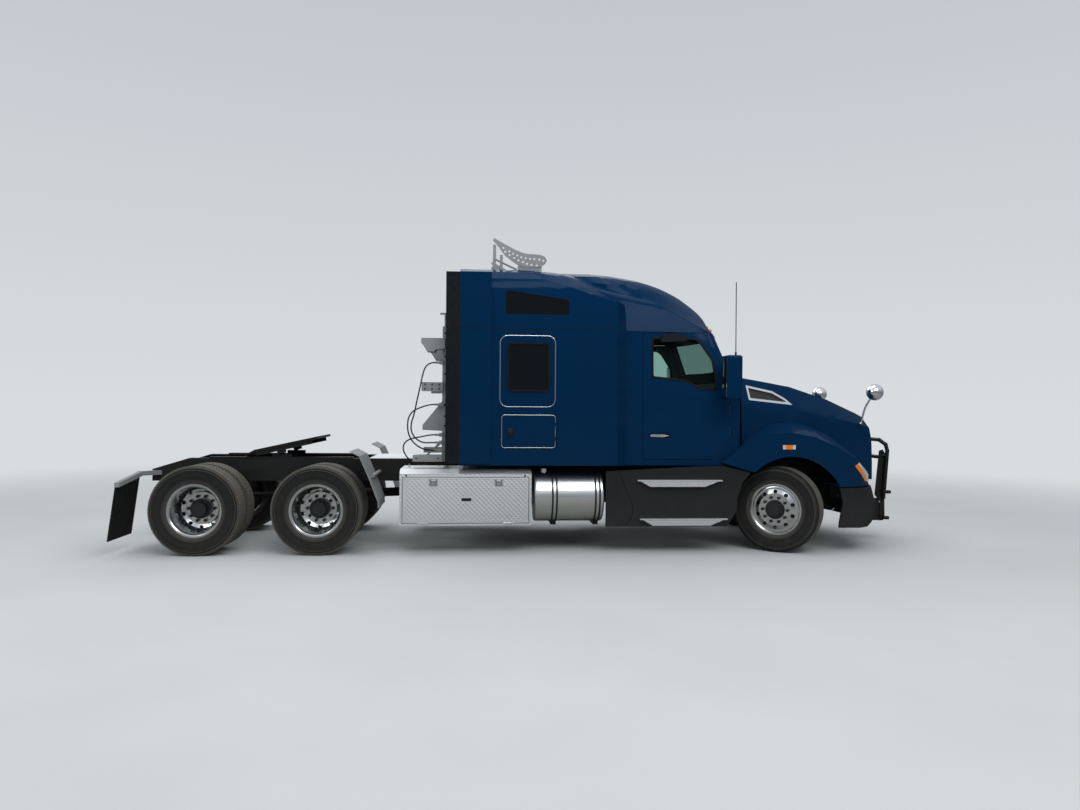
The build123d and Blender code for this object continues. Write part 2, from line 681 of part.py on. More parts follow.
VENT = [(-446, 1955), (-433, 1776), (149, 1721), (60, 1800), (-99, 1887)]
GRILLE = [(-300, 865), (300, 865), (385, 1300), (350, 1480), (-350, 1480), (-385, 1300)]
GRILLE_BARS = 9
SURROUND_W = 45.0


def hood_section(x, low, crease, crease_z, shoulder, shoulder_z, top, inset):
    low, crease, shoulder = low - inset, crease - inset, shoulder - inset
    shoulder_z, top = shoulder_z - inset, top - inset
    bottom = HOOD_BOTTOM - max(inset, 0)
    right = Polyline((0, bottom), (-low, bottom), (-crease, crease_z), (-shoulder, shoulder_z))
    crown = ThreePointArc((-shoulder, shoulder_z), (0, top), (shoulder, shoulder_z))
    left = Polyline((shoulder, shoulder_z), (crease, crease_z), (low, bottom), (0, bottom))
    return Plane(origin=(x, 0, 0), x_dir=(0, 1, 0), z_dir=(1, 0, 0)) * make_face([right, crown, left])


def hood_body(inset):
    body = loft([hood_section(*row, inset) for row in HOOD_SECTIONS], ruled=True)
    return body & through(NOSE, -inset)


def fender(inset):
    levels = []
    for points, y in ((FENDER_OUT, -SLEEPER_W + inset), (FENDER_IN, -FENDER_IN_Y), (FENDER_IN, -RAIL_OUT_Y - 28)):
        levels.append(Pos(0, y, 0) * Rot(90, 0, 0) * outline(points, -inset))
    wing = loft(levels, ruled=True)
    return wing & plan_prism(FENDER_PLAN, 500, 1700, -inset)


def slab(a, b):
    """The front of the hood between two depths."""
    return (through(NOSE, a) - through(NOSE, b)) & block(1100, 1400, -600, 600, 700, 1520)


def hood():
    wing_out, wing_in = fender(0), fender(HOOD_WALL)
    hollow = hood_body(HOOD_WALL)
    shape = (hood_body(0) & right_of(0)) + wing_out
    for piece in (hollow, wing_in, rod_y(-1300, -560, 0, ARCH_Z, ARCH_R), block(-900, -600, -1300, 0, 700, 944)):
        shape -= piece
    # Room for the cab, also under its floor, where the hood's rear edge rises past it
    cab_room = cab_solid(-BODY_GAP)
    shape = shape - cab_room - Pos(0, 0, -220) * cab_room
    # Headlamps fill their openings in the fenders
    lamp = ((wing_out - wing_in) & side_prism(LAMP, -1400, -720, -FIT)) - hollow
    shape -= side_prism(LAMP, -1400, -720)
    marker = block(-120, 30, -SLEEPER_W - FIT, -SLEEPER_W - 9, 1205, 1255)
    parts["lamps"] = Compound(both(lamp) + both(marker))
    # Side vents and grille: chrome surrounds and bars, with black mesh behind
    shape -= side_prism(VENT, -1300, -500)
    hole = side_prism(VENT, -1300, -500, -26)
    rim_ring = (hood_body(-5) - hood_body(HOOD_WALL - 5)) & (side_prism(VENT, -1300, -500, -FIT) - hole)
    vent_mesh = (hood_body(8) - hood_body(14)) & side_prism(VENT, -1300, -500, -26 - FIT)
    shape -= front_prism(GRILLE, 1100, 1400)
    ring = front_prism(GRILLE, 1100, 1400, -FIT) - front_prism(GRILLE, 1100, 1400, -SURROUND_W)
    bars = block(1100, 1400, -12, 12, 800, 1500)
    for i in range(GRILLE_BARS):
        z = 925 + i * 58
        bars += block(1100, 1400, -400, 400, z, z + 16)
    bars &= front_prism(GRILLE, 1100, 1400, 1 - SURROUND_W)
    parts["grille"] = Compound([(slab(8, -24) & ring) + (slab(2, -16) & bars)] + both(rim_ring))
    mesh = slab(-16 - FIT, -22) & front_prism(GRILLE, 1100, 1400, -SURROUND_W - FIT)
    parts["hood_mesh"] = Compound([mesh] + both(vent_mesh))
    # Pivot ears under the nose
    y = -306
    shape += block(HOOD_PIN_X - 20, HOOD_PIN_X + 8, y, y - 20, HOOD_PIN_Z - 20, 878)
    shape -= rod_y(y + 6, y - 24, HOOD_PIN_X, HOOD_PIN_Z, PIN_R + FIT)
    shape -= block(HOOD_PIN_X - 45, HOOD_PIN_X + 45, y, y + 32, 700, 846)
    parts["hood"] = shape + mirror(shape, Plane.XZ)
    # Mirrors on the hood, seated on its skin
    y = -CAB_W + 540
    arm = rod((1086, y + 40, 1462), (1094, y - 50, 1500), 14) + rod((1094, y - 50, 1500), (1122, y - 110, 1700), 12)
    arm += rod((1122, y - 110, 1700), (1180, y - 215, 1880), 12)
    arm += Pos(1094, y - 50, 1500) * Sphere(17) + Pos(1122, y - 110, 1700) * Sphere(14)
    arm += Pos(1183, y - 230, 1884) * Sphere(100)
    seated = arm - hood_body(0)
    parts["hood_mirrors"] = Compound(both(seated.solids().sort_by(SortBy.VOLUME)[-1]))


# Lower body
TANK_R, TANK_Z = 300.0, 645.0
TANK_Y = SLEEPER_W - 20 - TANK_R
TANK_X0, TANK_X1 = -2997.0, -2195.0
BOX_X0, BOX_X1 = DRIVE_XS["forward"] + TYRE_R + 421.5, -3033.0
BOX_Z0, BOX_Z1 = 335.0, 965.0
BOX_IN, BOX_T = 600.0, 12.0
FAIRING = [
    (-2180, 312),
    (-770, 312),
    (-660, 480),
    (-650, 640),
    (-585, 820),
    (-490, 930),
    (-820, 1010),
    (-1090, 1004),
    (-2180, 945),
]
FAIRING_SPLIT = [(-2054, 990), (-1961, 767), (-1890, 607), (-1865, 487), (-1885, 420), (-1980, 290)]
STEPS = ((850, 772, -1813, -842), (408, 328, -1781, -780))


def tanks():
    tank = rod_x(TANK_X0, TANK_X1, -TANK_Y, TANK_Z, TANK_R)
    tank = fillet(tank.edges().filter_by(GeomType.CIRCLE), 28)
    tank += rod_z(TANK_Z + 270, TANK_Z + 318, TANK_X0 + 117, -TANK_Y - 90, 42)
    parts["fuel_tanks"] = Compound(both(tank))
    straps = []
    hollow = rod_x(TANK_X0, TANK_X1, -TANK_Y, TANK_Z, TANK_R)
    for x in (TANK_X0 + 233, TANK_X1 - 76):
        bracket = block(x - 34, x + 34, -RAIL_OUT_Y, -RAIL_OUT_Y - 180, TANK_Z - 315, RAIL_TOP - 60)
        bracket += block(x - 30, x + 30, -RAIL_OUT_Y - 170, -TANK_Y - 90, TANK_Z - 335, TANK_Z - 230)
        for dx in (-24, 24):
            bracket += rod_x(x + dx - 10, x + dx + 10, -TANK_Y, TANK_Z, TANK_R + 6)
        straps += both(bracket - hollow)
    parts["tank_straps"] = Compound(straps)


def tool_boxes():
    x0, x1, z0, z1, y_in, y_out, t = BOX_X0, BOX_X1, BOX_Z0, BOX_Z1, -BOX_IN, -SLEEPER_W, BOX_T
    section = [(y_in, z0), (y_out, z0), (y_out, z1 - 48), (y_out + 85, z1), (y_in, z1)]
    box = front_prism(section, x0, x1) - front_prism(section, x0 + t, x1 - t, -t)
    door_x0, door_x1, door_z0, door_z1 = x0 + 34, x1 - 34, z0 + 30, z1 - 92
    box -= block(door_x0 - GAP, door_x1 + GAP, y_out - 1, y_out + t, door_z0 - GAP, door_z1 + GAP)
    for x in (x0 + 200, x1 - 200):
        box += block(x - 40, x + 40, y_in, -RAIL_OUT_Y, z1 - 130, z1 - 20)
    door = block(door_x0, door_x1, y_out, y_out + t, door_z0, door_z1)
    for x in (x0 + 377, x1 - 372):
        door += block(x - 45, x + 45, y_out, y_out - 7, door_z1 - 92, door_z1 - 12)
        door += block(x - 25, x + 25, y_out - 6, y_out - 16, door_z1 - 82, door_z1 - 22)
    hinges = [Pos(x, y_out - 2, door_z0 - 3) * Rot(0, 90, 0) * Rot(180, 0, 0) for x in (x0 + 260, x1 - 260)]
    box, door = add_hinges(box, door, hinges)
    boxes = both(box)
    boxes[0] += rod_z(z1 - 5, z1 + 25, *HOSE_FOOT, HOSE_R + 5)
    parts["tool_boxes"] = Compound(boxes)
    put("tool_box_door", door)


def fairings():
    out_y = -SLEEPER_W + 20
    skirt = side_prism(FAIRING, out_y, out_y + 30)
    groove = [(x + 5, z) for x, z in FAIRING_SPLIT] + [(x, z) for x, z in reversed(FAIRING_SPLIT)]
    skirt -= side_prism(groove, out_y - 1, out_y + 14)
    for x in (-2050, -1000):
        skirt += block(x - 30, x + 30, out_y + 30, -RAIL_OUT_Y, 800, 860)
    parts["side_fairings"] = Compound(both(skirt))
    steps = []
    for z1, z0, x0, x1 in STEPS:
        tread = side_prism([(x0, z1), (x1, z1), (x1 - 198, z0), (x0 + 140, z0)], out_y, out_y - 45)
        steps += both(tread + block(x0 - 6, x1 + 6, out_y, out_y - 49, z1 - 14, z1))
    deck = block(-4420, BOGIE_X + 1146, -RAIL_OUT_Y, RAIL_OUT_Y, RAIL_TOP, RAIL_TOP + 8)
    parts["steps"] = Compound(steps + [deck])


# Bumper and guard
# Levels of the bumper: height, rear X at the sides, corner X, nose X
BUMPER_LEVELS = ((290, 566, 960, 1220), (353, 572, 1014, 1285), (580, 613, 1045, 1325), (755, 575, 1000, 1270))


def bumper_solid(inset):
    faces = []
    out = SLEEPER_W - 20
    for z, rear, corner, nose in BUMPER_LEVELS:
        line = Polyline(
            (corner - inset, out - 100 - inset),
            (820, out - inset),
            (rear - inset, out - inset),
            (rear - inset, -out + inset),
            (820, -out + inset),
            (corner - inset, -out + 100 + inset),
        )
        bow = ThreePointArc((corner - inset, -out + 100 + inset), (nose - inset, 0), (corner - inset, out - 100 - inset))
        faces.append(Pos(0, 0, z) * make_face([line, bow]))
    return loft(faces, ruled=True)


def bumper():
    solid = bumper_solid(0)
    shape = solid - bumper_solid(25)
    shape -= block(500, 640, -SLEEPER_W + 45, SLEEPER_W - 45, 200, 800)
    for s in (-1, 1):
        shape -= block(1150, 1400, s * (GUARD_Y - 34), s * (GUARD_Y + 8), 240, 500)
        shape += block(1000, 1400, s * RAIL_OUT_Y, s * (RAIL_OUT_Y + 16), 640, 750) & solid
        shape += block(1000, RAIL_FRONT, s * RAIL_OUT_Y, s * (RAIL_OUT_Y + 16), 640, 850)
    return shape


GUARD_PLATE = [
    (1455, 1150),
    (1500, 1165),
    (1535, 1110),
    (1492, 600),
    (1525, 545),
    (1530, 330),
    (1505, 262),
    (1462, 262),
    (1470, 500),
    (1400, 590),
]


def guard():
    """Two upright plates with a tube before each, two cross tubes and the latch knobs."""
    y0, y1 = -GUARD_Y, -GUARD_Y - 14
    side = side_prism(GUARD_PLATE, y0, y1)
    side -= rod_y(y0 + 1, y1 - 1, GUARD_PIVOT_X, GUARD_PIVOT_Z, PIN_R + FIT)
    y = -GUARD_Y - 36
    tube = [(1505, y, 590), (1548, y, 1150), (1530, y + 8, 1230), (1462, y + 45, 1288), (1462, 0, 1288)]
    for a, b in zip(tube, tube[1:]):
        side += rod(a, b, 24)
    for point in tube[1:-1]:
        side += Pos(*point) * Sphere(26)
    side += rod((1506, y, 540), (1506, y, 600), 20) + rod((1432, y + 28, 1072), (1432, 0, 1072), 23)
    side += rod((1506, y, 620), (1506, y1 + 2, 620), 18) + rod((1540, y, 1090), (1490, y1 + 2, 1090), 14)
    side += rod_x(1480, NOSE_X, y, 628, 18) + rod_x(1545, NOSE_X, y, 628, 22)
    side += rod_x(1496, 1566, y1 - 27, 300, 22) + rod_y(y1 + 2, y1 - 20, 1512, 320, 10)
    return side + mirror(side, Plane.XZ)


# Tail


def tail():
    """Mud flaps under their arms, and the plates ahead of the forward drive wheels."""
    y_in, y_out = -RAIL_OUT_Y - 178, -SLEEPER_W + 5
    arm_x = RAIL_REAR - 72
    root = [
        (RAIL_REAR + 110, -RAIL_OUT_Y),
        (RAIL_REAR + 30, -RAIL_OUT_Y),
        (arm_x - 24, y_in - 8),
        (arm_x + 26, y_in - 8),
    ]
    bar = [(y_in + 30, 890), (y_in + 30, 838), (y_out, 764), (y_out, 812)]
    arm = plan_prism(root, 838, 890) + front_prism(bar, arm_x - 24, arm_x + 26)
    flap = side_prism([(arm_x + 6, 870), (arm_x - 6, 870), (TAIL_X, 168), (TAIL_X + 12, 168)], y_in, y_out)
    slope = front_prism([(y_in + 5, 1000), (y_in + 5, 862), (y_out - 5, 787), (y_out - 5, 1000)], arm_x - 60, arm_x + 60)
    parts["mud_flap_arms"] = Compound(both(arm))
    parts["mud_flaps"] = Compound(both((flap - slope) - arm))
    front = DRIVE_XS["forward"]
    plate = [(370, 1168), (480, 1112), (590, 865), (688, 605), (694, 532)]
    inner = [(362, 1162), (472, 1106), (580, 862), (679, 603), (685, 532)]
    points = [(front + x, z) for x, z in plate + inner[::-1]]
    leaf = side_prism(points, -RAIL_OUT_Y - 180, -SLEEPER_W + 5)
    leaf += rod_y(-RAIL_OUT_Y, -SLEEPER_W + 140, front + 606, 880, 22)
    parts["quarter_fenders"] = Compound(both(leaf))


# Rear rack and roof tray
RACK_X = SLEEPER_REAR - 200
RACK_Y = 900.0

# The air hoses hang on the right, between lugs at these heights
HOSE_R = 8.0
HOSE_LUG_ZS = (2180, 1695, 1345, 1255, 1165)


def rear_rack():
    y, x = -RACK_Y, RACK_X
    post = block(x, x + 60, y - 30, y + 30, RAIL_TOP, 2600)
    hook = [
        (x - 240, 2400),
        (x - 240, 2459),
        (x + 30, 2459),
        (x + 30, 2340),
        (x - 70, 2330),
        (x - 90, 2304),
        (x - 175, 2304),
        (x - 208, 2362),
    ]
    post += side_prism(hook, y - 110, y + 110)
    post += block(x - 235, x + 10, y - 70, y + 70, 1850, 1952)
    post += side_prism([(x + 10, 1748), (x - 226, 1456), (x - 226, 1400), (x + 10, 1388)], y - 5, y + 5)
    post += block(x - 332, x + 10, y - 60, y + 60, RAIL_TOP, RAIL_TOP + 73)
    post += side_prism([(x - 190, 1105), (x - 160, 1105), (x + 5, 1250), (x + 5, 1290)], y - 12, y + 12)
    post += block(x + 20, x + 40, y - 12, y + 12, 2590, 2760) + block(x - 30, x + 40, y - 12, y + 12, 2740, 2760)
    rack = post + mirror(post, Plane.XZ)
    for z in HOSE_LUG_ZS:
        rack += block(x - 30, x + 10, y - 62, y - 25, z - 22, z + 22) + rod_x(x - 65, x - 25, y - 45, z, HOSE_R + 5)
    for z0, z1 in ((RAIL_TOP, 1100), (1800, 1850), (2500, 2560)):
        rack += block(x, x + 60, y + 20, -y - 20, z0, z1)
    return rack


# Points of each hose's route: X, Y, Z
LUG_X, LUG_Y = RACK_X - 65, -RACK_Y - 45
HOSE_FOOT = (-4430, -950)
HOSES = {
    "air_hose_upper": [
        (LUG_X, LUG_Y, 2180),
        (-4195, LUG_Y, 2180),
        (-4255, -958, 2130),
        (-4283, -990, 2035),
        (-4308, -1005, 1895),
        (-4345, -1006, 1735),
        (-4374, -998, 1580),
        (-4410, -1000, 1475),
        (-4407, -1000, 1375),
        (-4352, -996, 1293),
        (-4262, -970, 1250),
        (-4190, LUG_Y, 1255),
        (LUG_X, LUG_Y, 1255),
    ],
    "air_hose_middle": [
        (LUG_X, LUG_Y, 1695),
        (-4200, LUG_Y, 1695),
        (-4300, -952, 1662),
        (-4390, -965, 1622),
        (-4440, -985, 1550),
        (-4449, -1010, 1462),
        (-4440, -1034, 1370),
        (-4400, -1040, 1282),
        (-4330, -1022, 1213),
        (-4245, -980, 1172),
        (-4190, LUG_Y, 1165),
        (LUG_X, LUG_Y, 1165),
    ],
    "air_hose_lower": [
        (LUG_X, LUG_Y, 1345),
        (-4190, LUG_Y, 1345),
        (-4290, -940, 1322),
        (-4395, -946, 1305),
        (-4475, -955, 1270),
        (-4507, -957, 1197),
        (-4480, -955, 1115),
        (HOSE_FOOT[0], HOSE_FOOT[1], 1060),
        (HOSE_FOOT[0], HOSE_FOOT[1], BOX_Z1 + 25),
    ],
}


def air_hoses():
    """Three rubber air hoses: straight runs joined by arcs that touch them."""
    for name, points in HOSES.items():
        corners = [Vector(*point) for point in points]
        radii = []
        for before, at, after in zip(corners, corners[1:], corners[2:]):
            turn = radians((at - before).get_angle(after - at))
            radii.append(0.45 * min((at - before).length, (after - at).length) / tan(turn / 2))
        route = FilletPolyline(*corners, radius=radii)
        start = Plane(origin=corners[0], z_dir=corners[1] - corners[0])
        parts[name] = sweep(start * Circle(HOSE_R), path=route)
        expected = pi * HOSE_R**2 * route.length
        print(name, "radii", [round(r) for r in radii], "length", round(route.length), "volume", round(parts[name].volume / expected, 4))


TRAY_PLATE = [
    (-3470, 3668),
    (-3350, 3600),
    (-3255, 3552),
    (-3205, 3525),
    (-3100, 3490),
    (-2925, 3480),
    (-2865, 3455),
    (-2841, 3416),
    (-2865, 3370),
    (-2920, 3331),
    (-3080, 3325),
    (-3182, 3349),
    (-3255, 3395),
    (-3338, 3459),
    (-3428, 3576),
    (-3485, 3640),
]
TRAY_HOLES = (
    (-3360, 3553),
    (-3290, 3514),
    (-3245, 3486),
    (-3196, 3467),
    (-3148, 3447),
    (-3096, 3437),
    (-3042, 3430),
    (-2992, 3428),
    (-2933, 3424),
    (-2885, 3410),
    (-3338, 3508),
    (-3288, 3470),
    (-3232, 3437),
    (-3182, 3410),
    (-3128, 3390),
    (-3080, 3370),
    (-3026, 3358),
    (-2965, 3352),
)
TRAY_Y = 790.0


def roof_tray():
    y = -TRAY_Y
    plate = side_prism(TRAY_PLATE, y - 4, y + 4)
    for x, z in TRAY_HOLES:
        plate -= Pos(x, y - 5, z) * Rot(90, 0, 0) * extrude(RegularPolygon(13, 8), amount=-10)
    plate += block(-3482, -3446, y + 3, y + 30, 3200, 3590) + block(-3400, -3366, y + 3, y + 22, 3200, 3470)
    plate += block(-3190, -2905, y + 3, y + 35, 3200, 3345)
    plate += rod((-3460, y + 10, 3420), (-3200, y + 10, 3300), 12)
    tray = plate + mirror(plate, Plane.XZ)
    for x, z in ((-3464, 3430), (-3383, 3390), (-3000, 3350)):
        tray += rod_y(y + 10, -y - 10, x, z, 14)
    return tray - roof_solid(0)


# Engine and cab inside
ENGINE_REAR = -1150.0


def engine_and_interior():
    engine = block(-250, 700, -330, 330, 700, 1500) + block(ENGINE_REAR, -250, -250, 250, 600, 960)
    for s in (-1, 1):
        engine += block(200, 320, s * 320, s * (RAIL_OUT_Y - RAIL_T), 850, 950)
    radiator = block(CROSS_XS[0] - 125, CROSS_XS[0] - 40, -330, 330, RAIL_BOTTOM + 25, 1380)
    parts["engine"] = Compound([engine, radiator])
    dash = cab_solid(WALL) & block(-960, 0, -CAB_W + 80, CAB_W - 80, 1600, 2010)
    dash += rod((-955, 520, 1757), (-1060, 520, 1830), 20)
    wheel = Cylinder(225, 24) - Cylinder(195, 26) + Box(400, 36, 16) + Cylinder(45, 26)
    dash += Pos(-1065, 520, 1834) * Rot(0, -55, 0) * wheel
    seats = []
    for y in (-520, 520):
        seat = block(-1600, -1300, y - 150, y + 150, FLOOR_TOP, 1460) + block(-1720, -1200, y - 250, y + 250, 1450, 1600)
        seat += block(-1760, -1630, y - 240, y + 240, 1560, 2200) + block(-1745, -1655, y - 130, y + 130, 2190, 2400)
        seats.append(seat)
    bunk = block(SLEEPER_REAR + WALL, -2900, -SLEEPER_W + WALL + GAP, SLEEPER_W - WALL - GAP, 1620, 1720)
    parts["cab_interior"] = Compound([dash, bunk] + seats)


door = cab_and_doors()
side_mirror = door_mirror(door)
housing, aerial = mirror_extras(door)
parts["door_mirror_right"] = Compound([side_mirror + aerial, housing])
parts["door_mirror_left"] = mirror(side_mirror, Plane.XZ)
sleeper()
extenders()
hood()
tanks()
tool_boxes()
fairings()
tail()
engine_and_interior()
parts["bumper"] = bumper()
parts["grille_guard"] = guard()
parts["frame"] = frame()
parts["fifth_wheel_base"] = fifth_wheel_base()
parts["fifth_wheel_plate"] = fifth_wheel_plate()
parts["rear_rack"] = rear_rack()
air_hoses()
parts["roof_tray"] = roof_tray()
parts["front_axle"] = front_axle()
parts["rear_suspension"] = rear_suspension()
parts["drive_axles"] = drive_axles()
parts["tie_rod"] = tie_rod()
put_steered("knuckle", knuckle())
put_steered("steer_wheel", steer_wheel())
put_steered("steer_tyre", tyre(0, -STEER_TYRE_Y))
for place, x in DRIVE_XS.items():
    put(f"drive_wheel_{place}", drive_wheels(x))
    put(f"drive_tyres_{place}", Compound([tyre(x, -DUAL_OUT_Y), tyre(x, -DUAL_OUT_Y + DUAL_PITCH)]))

os.makedirs("parts", exist_ok=True)
for node, shape in parts.items():
    export_step(Pos(-MID_X, 0, 0) * shape, f"parts/{node}.step")
print("nodes", len(parts), "origin at", MID_X)
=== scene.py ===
"""Finishes and small parts of a three-axle sleeper tractor unit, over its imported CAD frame.

Everything is in metres: +X forward, +Y left, +Z up, the ground at 0. Shapes are drawn with X from the
steering axle, as in the part's source, and piece() moves them by AXLE into the CAD's own frame.
"""

import json
from math import cos, exp, pi, radians, sin

import bmesh
import bpy
from bpy.props import FloatProperty, FloatVectorProperty, IntProperty, PointerProperty
from mathutils import Matrix, Vector
from mathutils.bvhtree import BVHTree


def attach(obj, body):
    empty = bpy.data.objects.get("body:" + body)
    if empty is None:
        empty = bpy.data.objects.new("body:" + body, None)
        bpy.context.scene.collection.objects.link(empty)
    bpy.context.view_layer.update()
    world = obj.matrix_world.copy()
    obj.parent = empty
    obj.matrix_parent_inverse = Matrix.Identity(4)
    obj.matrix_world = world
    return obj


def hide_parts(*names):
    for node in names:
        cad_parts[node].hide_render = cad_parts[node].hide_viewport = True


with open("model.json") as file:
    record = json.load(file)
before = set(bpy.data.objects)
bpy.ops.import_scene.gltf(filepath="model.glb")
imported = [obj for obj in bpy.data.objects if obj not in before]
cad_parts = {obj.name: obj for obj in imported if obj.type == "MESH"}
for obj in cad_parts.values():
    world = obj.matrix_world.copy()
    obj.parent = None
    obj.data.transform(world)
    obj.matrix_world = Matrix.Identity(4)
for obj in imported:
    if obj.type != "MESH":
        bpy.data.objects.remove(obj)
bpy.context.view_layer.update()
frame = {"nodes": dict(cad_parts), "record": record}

bl_info = {
    "name": "Sleeper Tractor Unit",
    "version": (1, 0, 0),
    "blender": (4, 5, 0),
    "location": "3D View > Sidebar > Tractor",
    "description": "Finishes and fittings of a sleeper tractor unit, over its CAD frame",
    "category": "Object",
}

AXLE = 3.041  # X of the steering axle in the CAD's frame
SIDES = (("right", -1), ("left", 1))
CAB_MIDDLE = (-1.9 + AXLE, 0.0, 1.95)  # a point well inside cab and sleeper
SLEEPER_SKIN, EXTENDER_SKIN = 1.220, 1.2403  # half widths over the flat sides
BOX_SKIN = 1.2195  # half width over the tool boxes
TYRE_R = 0.5
STEER = radians(35)  # how far the front wheels stand turned
KINGPIN_Y, WHEEL_OFFSET = 0.89, 0.185
DRIVE_X = {"forward": -5.4355, "rear": -6.7565}
DRIVE_Y, DUAL_YS = 0.905, (1.075, 0.735)  # middle of a wheel pair and of its two tyres
SEAT_Y = 0.52


# Colours and nodes


def linear(colour):
    """An sRGB hex colour as the linear colour that nodes take; what isn't hex stays as it is."""
    if not isinstance(colour, str):
        return colour
    parts = [int(colour[i : i + 2], 16) / 255 for i in (1, 3, 5)]
    return (*[c / 12.92 if c <= 0.04045 else ((c + 0.055) / 1.055) ** 2.4 for c in parts], 1.0)


def add(tree, kind, inputs=(), out=0, **settings):
    """Adds one node with its settings, and its inputs as values or links, and returns one output."""
    made = tree.nodes.new("ShaderNode" + kind)
    for name, value in settings.items():
        setattr(made, name, value)
    for name, value in inputs.items() if isinstance(inputs, dict) else enumerate(inputs):
        if isinstance(value, bpy.types.NodeSocket):
            tree.links.new(value, made.inputs[name])
        else:
            made.inputs[name].default_value = value
    return made.outputs[out]


def surface(name, colour, **sockets):
    """A material with one Principled shader, its colour and its other sockets by name."""
    mat = bpy.data.materials.new(name)
    mat.use_nodes = True
    shader = mat.node_tree.nodes["Principled BSDF"]
    shader.inputs["Base Color"].default_value = mat.diffuse_color = linear(colour)
    for key, value in sockets.items():
        shader.inputs[key.replace("_", " ")].default_value = value
    return mat, mat.node_tree, shader


def weathered(tree, shader, colour, dust, low, high, most, patch):
    """Dry road dust over a colour: most at the height low, gone at the height high, in soft patches."""
    place = add(tree, "TexCoord", out="Object")
    fade = add(tree, "MapRange", (add(tree, "SeparateXYZ", (place,), 2), low, high, most, 0.0))
    cloud = add(tree, "TexNoise", {"Vector": place, "Scale": 1 / patch, "Detail": 6.0, "Roughness": 0.62})
    amount = add(tree, "Math", (fade, cloud), operation="MULTIPLY")
    mixed = add(tree, "Mix", {0: amount, 6: linear(colour), 7: linear(dust)}, 2, data_type="RGBA")
    tree.links.new(mixed, shader.inputs["Base Color"])
    return place


def uneven(tree, shader, place, low, high, patch):
    """Roughness that wanders between two values over patches of a size in metres."""
    spread = add(tree, "TexNoise", {"Vector": place, "Scale": 1 / patch, "Detail": 4.0})
    tree.links.new(add(tree, "MapRange", (spread, 0.3, 0.7, low, high)), shader.inputs["Roughness"])


def relief(tree, shader, height, depth, strength=1.0):
    """A bump of a depth in metres from a height between 0 and 1."""
    bump = add(tree, "Bump", {"Height": height, "Distance": depth, "Strength": strength})
    tree.links.new(bump, shader.inputs["Normal"])


def over(tree, shader, mask, colour, **sockets):
    """Another colour where a mask says, over what the shader has, and other sockets' values there."""
    under = shader.inputs["Base Color"].links[0].from_socket
    mixed = add(tree, "Mix", {0: mask, 6: under, 7: linear(colour)}, 2, data_type="RGBA")
    tree.links.new(mixed, shader.inputs["Base Color"])
    for key, value in sockets.items():
        socket = shader.inputs[key.replace("_", " ")]
        mixed = add(tree, "Mix", {0: mask, 2: socket.default_value, 3: value}, data_type="FLOAT")
        tree.links.new(mixed, socket)


# Materials

